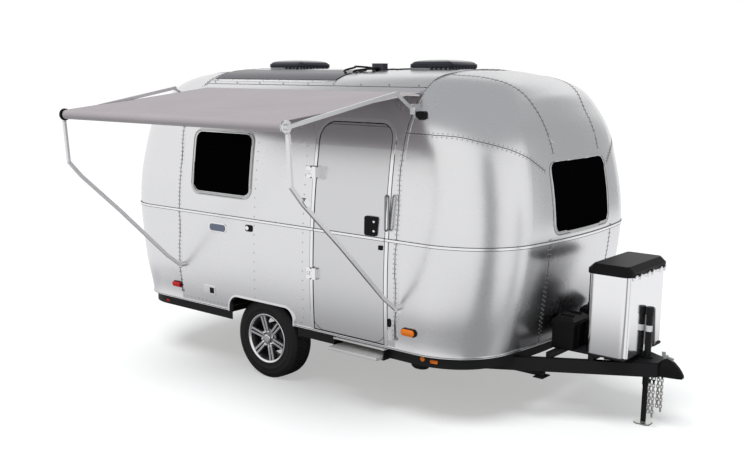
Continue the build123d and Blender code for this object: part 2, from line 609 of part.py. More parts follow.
hub = wheel_profile([
    (HUB_BORE, -110), (120, -110), (120, 8), (HUB_RADIUS, 12), (HUB_RADIUS, 88), (HUB_BORE - 4, 92),
    (0, 92), (0, 60), (HUB_BORE, 56),
])
spokes = []
for i in range(SPOKES):
    for side in (-1, 1):
        spoke = Pos(0, 0, side * SPOKE_SPREAD) * block(
            HUB_RADIUS - 12, BEAD_RADIUS - 3, 70, 90, -SPOKE_WIDTH / 2, SPOKE_WIDTH / 2)
        spokes.append(Rot(0, 360 / SPOKES * i, 0) * (Pos(0, 0, 0) * spoke))
rim = hub + barrel
for spoke in spokes:
    rim += spoke
for sign, side in ((-1, "right"), (1, "left")):
    place = Pos(AXLE_X, sign * WHEEL_Y, TYRE_RADIUS)
    turn = Rot(0, 0, 0) if sign > 0 else Rot(0, 0, 180)
    nodes["tyre_" + side] = place * turn * tyre
    nodes["rim_" + side] = place * turn * rim

# Coupler: drawbar plate, cast body and ball socket
plate = Plane.XY.offset(RAIL_TOP_Z) * make_face(Polyline(
    (-420, -240), (TONGUE_TIP_X, -86), (TONGUE_TIP_X, 86), (-420, 240), close=True).edges())
plate = extrude(plate, amount=PLATE_THICKNESS)
jack_hole = rod((JACK_X, 0, 0), (JACK_X, 0, 1000), JACK_RADIUS + 0.5)
nodes["tongue_plate"] = plate - jack_hole
plate_top = RAIL_TOP_Z + PLATE_THICKNESS
body = block(TONGUE_TIP_X, -30, -36, 36, BALL_HEIGHT - SOCKET_BELOW, 545)
body += Pos(0, 0, BALL_HEIGHT - SOCKET_BELOW) * Cylinder(48, 545 - BALL_HEIGHT + SOCKET_BELOW, align=(Align.CENTER, Align.CENTER, Align.MIN))
body += block(0, 60, -30, 30, BALL_HEIGHT - SOCKET_BELOW, 520)
body += Pos(60, 0, BALL_HEIGHT - SOCKET_BELOW) * Cylinder(23, 520 - BALL_HEIGHT + SOCKET_BELOW, align=(Align.CENTER, Align.CENTER, Align.MIN))
body += block(TONGUE_TIP_X + SEAT, -52, -86, 86, RAIL_TOP_Z - TONGUE_RAIL[1], RAIL_TOP_Z + PLATE_THICKNESS)
socket = Pos(0, 0, BALL_HEIGHT - SOCKET_BELOW - 1) * Cylinder(
    SOCKET_RADIUS, SOCKET_BELOW + SOCKET_ABOVE + 1, align=(Align.CENTER, Align.CENTER, Align.MIN))
socket += Pos(0, 0, BALL_HEIGHT + SOCKET_ABOVE) * Sphere(SOCKET_RADIUS)
latch = block(-70, 10, -12, 12, 545, 560) + block(-74, -50, -14, 14, 545, 582)
nodes["coupler"] = body - socket + latch

# Nose jack: outer tube with its head and crank, inner leg with its foot plate
jack = rod((JACK_X, 0, JACK_BOTTOM_Z), (JACK_X, 0, JACK_TOP_Z - 60), JACK_RADIUS)
jack -= rod((JACK_X, 0, JACK_BOTTOM_Z - 1), (JACK_X, 0, JACK_TOP_Z - 90), JACK_RADIUS - JACK_WALL)
jack += rod((JACK_X, 0, JACK_TOP_Z - 60), (JACK_X, 0, JACK_TOP_Z), JACK_RADIUS + 4)
jack += rod((JACK_X, 0, plate_top), (JACK_X, 0, plate_top + 12), JACK_FLANGE) - rod(
    (JACK_X, 0, plate_top - 1), (JACK_X, 0, plate_top + 13), JACK_RADIUS - 1)
nodes["jack_tube"] = jack
crank = rod((JACK_X, -JACK_RADIUS - 4.3, JACK_TOP_Z - 30), (JACK_X, -62, JACK_TOP_Z - 30), 9)
crank += bar((JACK_X, -56, JACK_TOP_Z - 20), (JACK_X, -56, JACK_TOP_Z - 270), 12, 22)
crank += rod((JACK_X, -56, JACK_TOP_Z - 262), (JACK_X, -170, JACK_TOP_Z - 262), 14)
nodes["jack_crank"] = crank
leg = rod((JACK_X, 0, JACK_FOOT[2]), (JACK_X, 0, JACK_LEG_TOP_Z), JACK_LEG_RADIUS)
foot = block(JACK_X - JACK_FOOT[0] / 2, JACK_X + JACK_FOOT[0] / 2, -JACK_FOOT[1] / 2, JACK_FOOT[1] / 2, 0, JACK_FOOT[2])
nodes["jack_leg"] = leg + chamfer(foot.edges().filter_by(Axis.Z), 22)

# Gas cover, its lid, bottles, tray and battery boxes
cover_length = COVER_FRONT_X - COVER_REAR_X
cover_x = (COVER_FRONT_X + COVER_REAR_X) / 2


def cover_prism(z0, z1, grow):
    """Rounded upright box on the gas cover's outline."""
    face = Plane.XY.offset(z0) * (Pos(cover_x, 0) * RectangleRounded(
        cover_length + 2 * grow, 2 * (COVER_HALF_WIDTH + grow), COVER_CORNER + grow))
    return extrude(face, amount=z1 - z0)


gas_cover = cover_prism(COVER_BOTTOM_Z, COVER_TOP_Z, 0) - cover_prism(
    COVER_BOTTOM_Z - 1, COVER_TOP_Z + 1, -COVER_WALL)
lid_base = COVER_TOP_Z + LID_GAP
lid = cover_prism(lid_base, lid_base + LID_HEIGHT, LID_OVERHANG)
lid = chamfer(lid.faces().sort_by(Axis.Z)[-1].edges(), LID_CHAMFER)
lid -= cover_prism(lid_base - 1, lid_base + LID_HEIGHT - LID_CHAMFER - 6, -8)
lid_hinge_x = COVER_FRONT_X + LID_OVERHANG + 7
for y in (-220, 0, 220):
    lid += rod((lid_hinge_x, y - 24, lid_base + 8), (lid_hinge_x, y + 24, lid_base + 8), 6.5)
    lid += block(lid_hinge_x - 8, lid_hinge_x, y - 24, y + 24, lid_base + 2, lid_base + 14)
    for side in (-1, 1):
        gas_cover += rod((lid_hinge_x, y + side * 26, lid_base + 8), (lid_hinge_x, y + side * 50, lid_base + 8), 6.5)
        gas_cover += block(COVER_FRONT_X, lid_hinge_x, y + side * 26, y + side * 50, lid_base - 30, lid_base - 6)
        gas_cover += block(lid_hinge_x - 1, lid_hinge_x + 5, y + side * 26, y + side * 50, lid_base - 30, lid_base + 8)
nodes["gas_lid"] = lid
nodes["gas_cover"] = gas_cover
tray_z = COVER_BOTTOM_Z - TRAY_THICKNESS
tray = block(BATTERY_X - 130, COVER_FRONT_X - 6, -COVER_HALF_WIDTH - 8, COVER_HALF_WIDTH + 8, tray_z, COVER_BOTTOM_Z)
for x, reach, seat_z in TRAY_BARS:
    tray += block(x - 20, x + 20, -reach, reach, seat_z, tray_z)
nodes["gas_tray"] = tray
bottle = revolve(Plane.XZ * make_face(Polyline(
    (0, 0), (BOTTLE_RADIUS - 20, 0), (BOTTLE_RADIUS, 25), (BOTTLE_RADIUS, BOTTLE_HEIGHT - 90),
    (BOTTLE_RADIUS - 50, BOTTLE_HEIGHT - 25), (30, BOTTLE_HEIGHT), (30, BOTTLE_HEIGHT + 70), (0, BOTTLE_HEIGHT + 70),
    close=True).edges()), Axis.Z)
nodes["gas_bottles"] = Compound(children=[Pos(cover_x, side * BOTTLE_Y, COVER_BOTTOM_Z) * bottle for side in (-1, 1)])
boxes = []
for side in (-1, 1):
    case = Pos(BATTERY_X, side * BATTERY_Y, COVER_BOTTOM_Z + BATTERY_SIZE[2] / 2) * Box(*BATTERY_SIZE)
    case = fillet(case.edges().filter_by(Axis.Z), 18)
    rim_plate = Pos(BATTERY_X, side * BATTERY_Y, COVER_BOTTOM_Z + BATTERY_SIZE[2] - 70) * Box(
        BATTERY_SIZE[0] + 16, BATTERY_SIZE[1] + 16, 14)
    boxes.append(case + rim_plate)
nodes["battery_boxes"] = Compound(children=boxes)

# Safety chains: doubled strands of flat-sided links under the drawbar's tip
link_outer = make_face(Polyline(*[(x * LINK_WIDTH / 2, z * LINK_LENGTH / 2) for x, z in (
    (-0.4, -1), (0.4, -1), (1, -0.6), (1, 0.6), (0.4, 1), (-0.4, 1), (-1, 0.6), (-1, -0.6))], close=True).edges())
inner_width, inner_length = LINK_WIDTH - 2 * LINK_WIRE, LINK_LENGTH - 2 * LINK_WIRE
link_inner = make_face(Polyline(*[(x * inner_width / 2, z * inner_length / 2) for x, z in (
    (-0.4, -1), (0.4, -1), (1, -0.6), (1, 0.6), (0.4, 1), (-0.4, 1), (-1, 0.6), (-1, -0.6))], close=True).edges())
link = Plane.XZ * extrude(link_outer - link_inner, amount=LINK_WIRE / 2, both=True)
pitch = inner_length - 1
count = int((CHAIN_TOP_Z - CHAIN_BOTTOM_Z) / pitch)
for sign, side in ((-1, "right"), (1, "left")):
    links = []
    for strand in (0, 1):
        x, y = CHAIN_X - CHAIN_STEP * strand, sign * CHAIN_Y
        for i in range(count - 1 - strand):
            z = CHAIN_TOP_Z - LINK_LENGTH / 2 - pitch * i
            links.append(Pos(x, y, z) * Rot(0, 0, 45 + 90 * (i % 2)) * link)
    nodes["safety_chain_" + side] = Compound(children=links)

# Awning, opened as when parked
fabric_front, fabric_rear = AWNING_FRONT_X - FABRIC_EDGE, AWNING_REAR_X + FABRIC_EDGE
roller_top = ROLLER_Z + ROLLER_RADIUS
fabric_low = (ROLLER_Y, roller_top + SEAT)
fabric_high = (INNER_RAIL_Y, INNER_RAIL_Z + INNER_RAIL_RADIUS + SEAT)
middle = ((fabric_low[0] + fabric_high[0]) / 2, (fabric_low[1] + fabric_high[1]) / 2 - 12)
fabric_face = make_face([
    ThreePointArc((0, *fabric_low), (0, *middle), (0, *fabric_high)),
    Line((0, *fabric_high), (0, fabric_high[0], fabric_high[1] + FABRIC_THICKNESS)),
    ThreePointArc((0, fabric_high[0], fabric_high[1] + FABRIC_THICKNESS), (0, middle[0], middle[1] + FABRIC_THICKNESS),
                  (0, fabric_low[0], fabric_low[1] + FABRIC_THICKNESS)),
    Line((0, fabric_low[0], fabric_low[1] + FABRIC_THICKNESS), (0, *fabric_low)),
])
nodes["awning_fabric"] = Pos(fabric_rear, 0, 0) * extrude(fabric_face, amount=fabric_front - fabric_rear, dir=(1, 0, 0))
nodes["awning_roller"] = rod((AWNING_REAR_X + 14 + SEAT, ROLLER_Y, ROLLER_Z), (AWNING_FRONT_X - 14 - SEAT, ROLLER_Y, ROLLER_Z), ROLLER_RADIUS)
inner_rail = rod((AWNING_REAR_X, INNER_RAIL_Y, INNER_RAIL_Z), (AWNING_FRONT_X, INNER_RAIL_Y, INNER_RAIL_Z), INNER_RAIL_RADIUS)
arms, rafters, brackets = [], [], []
bracket_wall_y = -half_width(AWNING_BRACKET_Z)
for x in (AWNING_REAR_X, AWNING_FRONT_X):
    arm = Part()
    for (y0, z0), (y1, z1) in zip(ARM_ROUTE, ARM_ROUTE[1:]):
        arm += bar((x, y0, z0), (x, y1, z1), AWNING_ARM * 0.7, AWNING_ARM)
        arm += rod((x - AWNING_ARM * 0.35, y1, z1), (x + AWNING_ARM * 0.35, y1, z1), AWNING_ARM / 2)
    arms.append(arm)
    rafters.append(
        bar((x, ROLLER_Y + 6, ROLLER_Z - 6), (x, INNER_RAIL_Y, INNER_RAIL_Z), 20, 26)
        + rod((x - 14, ROLLER_Y, ROLLER_Z), (x + 14, ROLLER_Y, ROLLER_Z), ROLLER_RADIUS + 4)
        + rod((x - 14, INNER_RAIL_Y, INNER_RAIL_Z), (x + 14, INNER_RAIL_Y, INNER_RAIL_Z), INNER_RAIL_RADIUS + 6))
    foot_y = -half_width(ARM_ROUTE[0][1])
    brackets.append(block(x - 24, x + 24, ARM_ROUTE[0][0] + 15, foot_y + 20, ARM_ROUTE[0][1] - 34, ARM_ROUTE[0][1] + 34))
    strut = bar((x, INNER_RAIL_Y + 10.8, INNER_RAIL_Z - 14.8), (x, bracket_wall_y - 10, AWNING_BRACKET_Z), 14, 20)
    pad = block(x - 20, x + 20, bracket_wall_y - 30, bracket_wall_y + 60, AWNING_BRACKET_Z - 40, AWNING_BRACKET_Z + 40)
    brackets.append(strut + pad)
nodes["awning_arms"] = Compound(children=arms)
nodes["awning_rafters"] = inner_rail + rafters[0] + rafters[1]
cap_clearance = filled_section(-5000, 0, -1)
nodes["awning_brackets"] = Compound(children=[bracket - cap_clearance - outer_loft for bracket in brackets])

# Roof fittings
crown_body = filled_section(REAR_SEAM_X - 200, FRONT_SEAM_X + 200, -SEAT)
vents, domes = [], []
for x in (-3663, -2055):
    base = block(x - 200, x + 200, -200, 200, ROOF_Z - 30, ROOF_Z + 30)
    base = fillet(base.edges().filter_by(Axis.Z), 30)
    vents.append(base - crown_body)
    dome = block(x - 212, x + 212, -212, 212, ROOF_Z + 30, ROOF_Z + 78)
    dome = fillet(dome.edges().filter_by(Axis.Z), 60)
    domes.append(fillet(dome.faces().sort_by(Axis.Z)[-1].edges(), 34))
nodes["roof_vents"] = Compound(children=vents)
nodes["vent_domes"] = Compound(children=domes)
panel_prism = block(-3950, -2540, -800, -400, 2300, 2700)
solar_panel = shell_band(-3950, -2550, -6, -0.5) & panel_prism
junction = fillet(block(-2540, -2425, -350, -270, 2560, ROOF_Z + 44).edges().filter_by(Axis.Z), 12)
nodes["roof_panel"] = Compound(children=[solar_panel, junction - crown_body])

# Entry step: fixed side plates and upper plate, sliding tread
plate_y = -half_width(TRIM_Z) + SKIRT_INSET
tread_top = STEP_TREAD_Z + STEP_TREAD_HEIGHT
step_frame = block(STEP_X[0], STEP_X[1], plate_y - 60, plate_y + 40, STEP_PLATE_Z, STEP_PLATE_Z + 10)
step_frame += block(STEP_X[0], STEP_X[1], STEP_BACK_Y - 40, STEP_BACK_Y, tread_top + 6, RAIL_TOP_Z - SEAT)
for x, inwards in ((STEP_X[0], 1), (STEP_X[1], -1)):
    x0, x1 = sorted((x, x + inwards * STEP_SIDE))
    lip0, lip1 = sorted((x, x + inwards * STEP_LIP))
    step_frame += block(x0, x1, plate_y - 60, STEP_BACK_Y, STEP_TREAD_Z - 8, RAIL_TOP_Z - SEAT)
    step_frame += block(x0, x1, plate_y - 60, plate_y + 40, RAIL_TOP_Z - 4, STEP_PLATE_Z)
    step_frame += block(lip0, lip1, plate_y - 60, STEP_BACK_Y, STEP_TREAD_Z - 8, STEP_TREAD_Z - SEAT)
nodes["step_frame"] = step_frame
tread = block(STEP_X[0] + 14, STEP_X[1] - 14, STEP_OUTER_Y, STEP_OUTER_Y + STEP_TREAD_DEPTH, STEP_TREAD_Z, tread_top)
tread = fillet(tread.edges().filter_by(Axis.X), 8)
for x in (STEP_X[0] + 14, STEP_X[1] - 26):
    tread += block(x, x + 12, STEP_OUTER_Y + STEP_TREAD_DEPTH - 20, STEP_BACK_Y - 46, STEP_TREAD_Z, STEP_TREAD_Z + 12)
nodes["step_tread"] = tread

# Stabiliser legs folded under the chassis, one body each
leg_length, leg_width, leg_height = STABILISER_LEG
stabiliser_bases = []
for x, run in zip(STABILISER_X, (1, -1)):
    for sign, side in ((-1, "right"), (1, "left")):
        y = sign * STABILISER_Y
        where = ("front_" if run > 0 else "rear_") + side
        arm = bar((x, y, STABILISER_Z), (x + run * leg_length, y, STABILISER_Z), leg_width, leg_height)
        arm += rod((x, y - leg_width / 2, STABILISER_Z), (x, y + leg_width / 2, STABILISER_Z), 20)
        arm += block(x + run * (leg_length - 60), x + run * (leg_length + 20), y - 60, y + 60,
                     STABILISER_Z - 22, STABILISER_Z - 15)
        arm -= rod((x, y - 100, STABILISER_Z), (x, y + 100, STABILISER_Z), 9)
        nodes["stabiliser_" + where] = arm
        for edge in (-1, 1):
            cheek = y + edge * (leg_width / 2 + 8)
            stabiliser_bases.append(block(x - 30, x + 30, cheek - 3, cheek + 3, STABILISER_Z - 20, RAIL_TOP_Z))
        stabiliser_bases.append(rod((x, y - leg_width / 2 - 4.9, STABILISER_Z), (x, y + leg_width / 2 + 4.9, STABILISER_Z), 8))
nodes["cross_members"] = Compound(children=members + stabiliser_bases)

# Lamps standing on the skin
def side_lamp(x, z, length, height, proud, from_y):
    """Oval lamp body along Y, from a distance to the right, standing proud of the skin."""
    face = Plane.XZ * (Pos(x, z) * SlotOverall(length, height))
    return Pos(0, from_y, 0) * extrude(face, amount=proud)


nodes["porch_lamp"] = side_lamp(-1514, 2275, 84, 52, 70, -1020) - filled_section(-2000, -1400, -1)
nodes["marker_lamps"] = side_lamp(-1495, 705, 90, 36, 35, -1200) - outer_loft
nodes["tail_lamps"] = side_lamp(-4084, 672, 90, 36, 35, -1200) - outer_loft

os.makedirs("parts", exist_ok=True)
for name, shape in nodes.items():
    solids = shape.solids()
    piece = Compound(children=list(solids)) if len(solids) > 1 else solids[0]
    export_step(Pos(0, 0, -BALL_HEIGHT) * piece, f"parts/{name}.step")
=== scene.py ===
import math
import bpy
import numpy as np
from mathutils import Matrix, Vector
from mathutils.bvhtree import BVHTree


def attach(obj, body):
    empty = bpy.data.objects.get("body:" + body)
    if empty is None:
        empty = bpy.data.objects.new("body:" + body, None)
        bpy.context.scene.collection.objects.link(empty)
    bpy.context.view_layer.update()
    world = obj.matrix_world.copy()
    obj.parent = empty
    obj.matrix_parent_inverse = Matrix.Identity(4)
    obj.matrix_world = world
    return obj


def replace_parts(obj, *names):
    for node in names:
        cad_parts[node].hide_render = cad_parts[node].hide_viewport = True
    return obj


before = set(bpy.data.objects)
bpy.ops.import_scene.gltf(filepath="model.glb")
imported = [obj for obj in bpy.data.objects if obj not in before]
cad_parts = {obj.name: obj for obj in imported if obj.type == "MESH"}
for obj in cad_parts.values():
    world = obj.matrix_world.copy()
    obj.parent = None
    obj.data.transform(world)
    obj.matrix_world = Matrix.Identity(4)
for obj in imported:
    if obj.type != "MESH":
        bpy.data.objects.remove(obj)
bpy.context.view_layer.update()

# Camera: the photograph's own, solved from the wheel, the belt line, the door and the ball.
# It stands ahead of the caravan's right-hand side a little below roof height, and its centre
# is shifted because the photograph was cropped. Lengths in the picture are in pixels.
CAMERA_AT = (2.4371, -6.706, 2.1388)
YAW, PITCH, ROLL = 2.2841, -0.1736, 0.0059
PICTURE_WIDE, PICTURE_TALL = 755, 470
FOCAL_LENGTH, AXIS_ACROSS, AXIS_DOWN = 953.385, 322.963, 238.595
SENSOR_MM = 36


def placed(name, data):
    """New object with this data, linked into the scene."""
    made = bpy.data.objects.new(name, data)
    bpy.context.scene.collection.objects.link(made)
    return made


forward = Vector((math.cos(PITCH) * math.cos(YAW), math.cos(PITCH) * math.sin(YAW), math.sin(PITCH)))
level = Vector((math.sin(YAW), -math.cos(YAW), 0))
upright = level.cross(forward)
right = math.cos(ROLL) * level + math.sin(ROLL) * upright
up = math.cos(ROLL) * upright - math.sin(ROLL) * level
camera = placed("camera", bpy.data.cameras.new("camera"))
camera.matrix_world = Matrix([
    (right[axis], up[axis], -forward[axis], CAMERA_AT[axis]) for axis in range(3)] + [(0, 0, 0, 1)])
camera.data.sensor_width = SENSOR_MM
camera.data.lens = FOCAL_LENGTH / PICTURE_WIDE * SENSOR_MM
camera.data.shift_x = (PICTURE_WIDE / 2 - AXIS_ACROSS) / PICTURE_WIDE
camera.data.shift_y = (AXIS_DOWN - PICTURE_TALL / 2) / PICTURE_WIDE
camera.data.clip_end = 200
bpy.context.scene.camera = camera
bpy.context.scene.view_settings.view_transform = "Standard"

# Studio: a white room. The world is white to the eye and in reflections and lights the rest softly.
# The floor's paper takes the shadow; in the metal it shows painted shade near the body and a painted glow
# further off.
GROUND = -0.437
WORLD_LIGHT = 0.38
WHITE = (1, 1, 1, 1)
PAPER, PAPER_SHADE_IN_METAL = (0.62, 0.63, 0.63, 1), (0.33, 0.33, 0.335, 1)
FLOOR_REACH = 60
BODY_MIDDLE, BODY_HALF = (-2.8, 0, GROUND), (1.7, 0.9, 1)
GLOW_STARTS, GLOW_FULL, FAR_PAINTED_GLOW, SEEN_GLOW = 0.8, 3.3, 0.62, 0.42


def wired(tree, kind, feeds=None, **settings):
    """New shader node; feeds gives inputs a plain value or another node's output."""
    made = tree.nodes.new("ShaderNode" + kind)
    for setting, value in settings.items():
        setattr(made, setting, value)
    for socket, value in (feeds or {}).items():
        if isinstance(value, bpy.types.NodeSocket):
            tree.links.new(value, made.inputs[socket])
        else:
            made.inputs[socket].default_value = value
    return made


def emptied(owner):
    """The node tree of a new world or material, with nothing in it."""
    owner.use_nodes = True
    owner.node_tree.nodes.clear()
    return owner.node_tree


world = bpy.data.worlds.new("studio")
tree = emptied(world)
ray = wired(tree, "LightPath").outputs
glossy_or_clear = wired(tree, "Math", {0: ray["Is Glossy Ray"], 1: ray["Is Transmission Ray"]},
                        operation="MAXIMUM")
seen = wired(tree, "Math", {0: ray["Is Camera Ray"], 1: glossy_or_clear.outputs[0]}, operation="MAXIMUM")
white = wired(tree, "Background", {"Color": WHITE, "Strength": 1.0})
soft = wired(tree, "Background", {"Color": (0.97, 0.98, 1, 1), "Strength": WORLD_LIGHT})
choose = wired(tree, "MixShader", {0: seen.outputs[0], 1: soft.outputs[0], 2: white.outputs[0]})
wired(tree, "OutputWorld", {"Surface": choose.outputs[0]})
bpy.context.scene.world = world

paper = bpy.data.materials.new("studio_paper")
tree = emptied(paper)
ray = wired(tree, "LightPath").outputs
place = wired(tree, "TexCoord")
off_middle = wired(tree, "VectorMath", {0: place.outputs["Object"], 1: BODY_MIDDLE}, operation="SUBTRACT")
either_way = wired(tree, "VectorMath", {0: off_middle.outputs[0]}, operation="ABSOLUTE")
past_body = wired(tree, "VectorMath", {0: either_way.outputs[0], 1: BODY_HALF}, operation="SUBTRACT")
outside = wired(tree, "VectorMath", {0: past_body.outputs[0]}, operation="MAXIMUM")
distance = wired(tree, "VectorMath", {0: outside.outputs[0]}, operation="LENGTH")
far = wired(tree, "MapRange", {"Value": distance.outputs["Value"], "From Min": GLOW_STARTS,
                               "From Max": GLOW_FULL, "To Min": 0.0, "To Max": FAR_PAINTED_GLOW},
            interpolation_type="SMOOTHSTEP")
# Painted shade: the paper seen in the metal is darker, standing in for the shadow round the body
tone = wired(tree, "Mix", {0: ray["Is Glossy Ray"], 6: PAPER, 7: PAPER_SHADE_IN_METAL}, data_type="RGBA")
matt = wired(tree, "BsdfDiffuse", {"Color": tone.outputs[2]})
# Painted glow: seen in the metal, the paper brightens with distance from the body
painted_glow_in_metal = wired(tree, "Math", {0: ray["Is Glossy Ray"], 1: far.outputs[0]}, operation="MULTIPLY")
amount = wired(tree, "Math", {0: ray["Is Camera Ray"], 1: SEEN_GLOW, 2: painted_glow_in_metal.outputs[0]},
               operation="MULTIPLY_ADD")
lift = wired(tree, "Emission", {"Color": WHITE, "Strength": amount.outputs[0]})
both = wired(tree, "AddShader", {0: matt.outputs[0], 1: lift.outputs[0]})
wired(tree, "OutputMaterial", {"Surface": both.outputs[0]})
floor_mesh = bpy.data.meshes.new("studio_floor")
corners = [(x * FLOOR_REACH, y * FLOOR_REACH, GROUND) for x, y in ((-1, -1), (1, -1), (1, 1), (-1, 1))]
floor_mesh.from_pydata(corners, [], [(0, 1, 2, 3)])
floor_mesh.materials.append(paper)
floor = placed("studio_floor", floor_mesh)

# One broad overhead lamp, tipped a little towards the door side and not mirrored in the metal
light = bpy.data.lights.new("lamp_overhead", "SUN")
light.energy = 2.3
light.angle = math.radians(30)
lamp = placed("lamp_overhead", light)
lamp.visible_glossy = False
lamp.rotation_mode = "QUATERNION"
lamp.rotation_quaternion = Vector((-0.08, 0.46, -1)).to_track_quat("-Z", "Y")


# Grey flags: plain cards out of view that give the bare metal its upright darker bands. A flag
# that stands on the ground has a tongue that runs in under the body's edge.
def flag(name, corners, faces, tint, glow):
    """Glowing card that only mirrors show: no camera ray, no light on the object and no shadow."""
    card = bpy.data.materials.new(name)
    tree = emptied(card)
    card_glow = wired(tree, "Emission", {"Color": (*tint, 1), "Strength": glow})
    wired(tree, "OutputMaterial", {"Surface": card_glow.outputs[0]})
    mesh = bpy.data.meshes.new(name)
    mesh.from_pydata([tuple(corner) for corner in corners], [], faces)
    mesh.materials.append(card)
    hung = placed(name, mesh)
    hung.visible_camera = False
    hung.visible_diffuse = False
    hung.visible_shadow = False


TONGUE_STARTS, TONGUE_LIFT = 0.5, 0.012
for name, azimuth, away, centre, width, low, high, glow in (
    # name, direction from the point it is seen from, distance, that point, width, foot, top, brightness
    ("flag_front", -27, 4.5, (-0.95, -1.0), 1.5, GROUND, 3.4, 0.34),
    ("flag_corner", 16, 5.5, (-0.95, -0.8), 0.6, GROUND, 1.6, 0.5),
    ("flag_left", 61, 7.5, (-0.95, 0.0), 6.4, 0.3, 6.4, 0.46),
):
    turn = math.radians(azimuth)
    out = Vector((math.cos(turn), math.sin(turn), 0))
    along = Vector((-math.sin(turn), math.cos(turn), 0))
    middle = Vector((*centre, 0)) + away * out
    corners = [middle + side * width / 2 * along + Vector((0, 0, z))
               for side, z in ((-1, low), (1, low), (1, high), (-1, high))]
    faces = [(0, 1, 2, 3)]
    if low == GROUND:
        foot = Vector((*centre, GROUND + TONGUE_LIFT)) + TONGUE_STARTS * out
        corners += [foot + side * width / 3 * along for side in (-1, 1)]
        faces.append((4, 5, 1, 0))
    flag(name, corners, faces, (0.98, 0.99, 1), glow)

# Dim ceiling over the caravan, seen by the metal alone, that shades the upper curves of the shell
CEILING = 6.5
flag("flag_ceiling", [(x, y, CEILING) for x, y in ((-7, -5.5), (9, -5.5), (9, 7), (-7, 7))], [(0, 3, 2, 1)],
     (0.96, 0.97, 1), 0.5)


# Shell. Bare aluminium sheet, rolled to shape and very slightly wavy, with a duller sheet on the door.
# The arches, the door's frame and its hinges are bright pressed trim; the deck inside is ply.
def finish(name, colour, rough, metal=0.0, specular=0.2, grain=0.0, grain_scale=3.0, bump=0.0, bump_scale=3.0,
           bump_detail=3):
    """Principled material; grain varies its roughness and bump its height by noise on Object coordinates.

    The specular level is for paint, plastic and other finishes that aren't metal.
    """
    made = bpy.data.materials.new(name)
    made.use_nodes = True
    tree = made.node_tree
    shader = tree.nodes["Principled BSDF"]
    shader.inputs["Base Color"].default_value = (*colour, 1)
    shader.inputs["Roughness"].default_value = rough
    shader.inputs["Metallic"].default_value = metal
    if not metal:
        shader.inputs["Specular IOR Level"].default_value = specular
    place = wired(tree, "TexCoord").outputs["Object"]
    if grain:
        noise = wired(tree, "TexNoise", {"Vector": place, "Scale": grain_scale, "Detail": 4})
        spread = wired(tree, "MapRange", {"Value": noise.outputs["Fac"], "To Min": max(rough - grain, 0.02),
                                          "To Max": min(rough + grain, 1)})
        tree.links.new(spread.outputs["Result"], shader.inputs["Roughness"])
    if bump:
        relief = wired(tree, "TexNoise", {"Vector": place, "Scale": bump_scale, "Detail": bump_detail})
        raised = wired(tree, "Bump", {"Strength": 1.0, "Distance": bump, "Height": relief.outputs["Fac"]})
        tree.links.new(raised.outputs["Normal"], shader.inputs["Normal"])
    return made


def wear(material, *cad_nodes):
    """Puts the material on every slot of the named CAD nodes."""
    for node in cad_nodes:
        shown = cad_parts[node]
        if not shown.data.materials:
            shown.data.materials.append(material)
        for place in shown.material_slots:
            place.link = "OBJECT"
            place.material = material


skin_metal = finish("skin_metal", (0.76, 0.76, 0.77), 0.27, metal=1.0, grain=0.04, grain_scale=3.0,
                    bump=0.0008, bump_scale=2.2, bump_detail=0)
wear(skin_metal, "front_cap", "rear_cap", "wall_right", "wall_left", "roof")
wear(finish("door_metal", (0.66, 0.66, 0.67), 0.27, metal=1.0), "door_panel")
bright_trim = finish("bright_trim", (0.86, 0.86, 0.87), 0.18, metal=1.0)
wear(bright_trim, "arch_trims", "door_frame", "door_hinges")
wear(finish("ply", (0.42, 0.33, 0.22), 0.6), "floor")

# Windows. Tinted panes that look black from outside, in pale grey extruded frames set into the
# skin with sealant.
wear(finish("pane_black", (0.002, 0.002, 0.0025), 0.25, specular=0.0), "side_windows", "end_windows")
wear(finish("frame_grey", (0.62, 0.62, 0.62), 0.38, metal=0.6), "window_frames")

# Black mouldings and the gas cover. The door's handle, the porch lamp and the cover's lid are moulded
# plastic, the cover below the lid polished sheet and the bottles inside it plain aluminium.
moulded_black = finish("moulded_black", (0.006, 0.006, 0.0065), 0.45, specular=0.12)
wear(moulded_black, "gas_lid", "door_handle", "porch_lamp")
wear(finish("polished", (0.86, 0.86, 0.87), 0.12, metal=1.0), "gas_cover")
awning_metal = finish("awning_metal", (0.76, 0.76, 0.77), 0.3, metal=1.0)
wear(awning_metal, "awning_arms", "gas_bottles")


# Trims and chassis. The belt and sill trims are bright extrusions with dark bands of painted shade: shadow
# lines along the belt's upper and lower edges and under the sill's lip. The welded chassis is painted black,
# the step's edge is bare metal, and the jack's foot and chains are plated.
def banded(name, low, high, outside, inside):
    """Paint by height: inside from low to high, outside elsewhere; each (colour, roughness, metallic)."""
    made = finish(name, outside[0], outside[1], metal=outside[2])
    tree = made.node_tree
    shader = tree.nodes["Principled BSDF"]
    place = wired(tree, "TexCoord")
    height = wired(tree, "SeparateXYZ", {0: place.outputs["Object"]}).outputs["Z"]
    above = wired(tree, "Math", {0: height, 1: low}, operation="GREATER_THAN")
    below = wired(tree, "Math", {0: height, 1: high}, operation="LESS_THAN")
    both = wired(tree, "Math", {0: above.outputs[0], 1: below.outputs[0]}, operation="MULTIPLY")
    within = both.outputs[0]
    colour = wired(tree, "Mix", {0: within, 6: (*outside[0], 1), 7: (*inside[0], 1)}, data_type="RGBA")
    tree.links.new(colour.outputs[2], shader.inputs["Base Color"])
    for socket, index in (("Roughness", 1), ("Metallic", 2)):
        value = wired(tree, "Mix", {0: within, 2: outside[index], 3: inside[index]})
        tree.links.new(value.outputs[0], shader.inputs[socket])
    return made


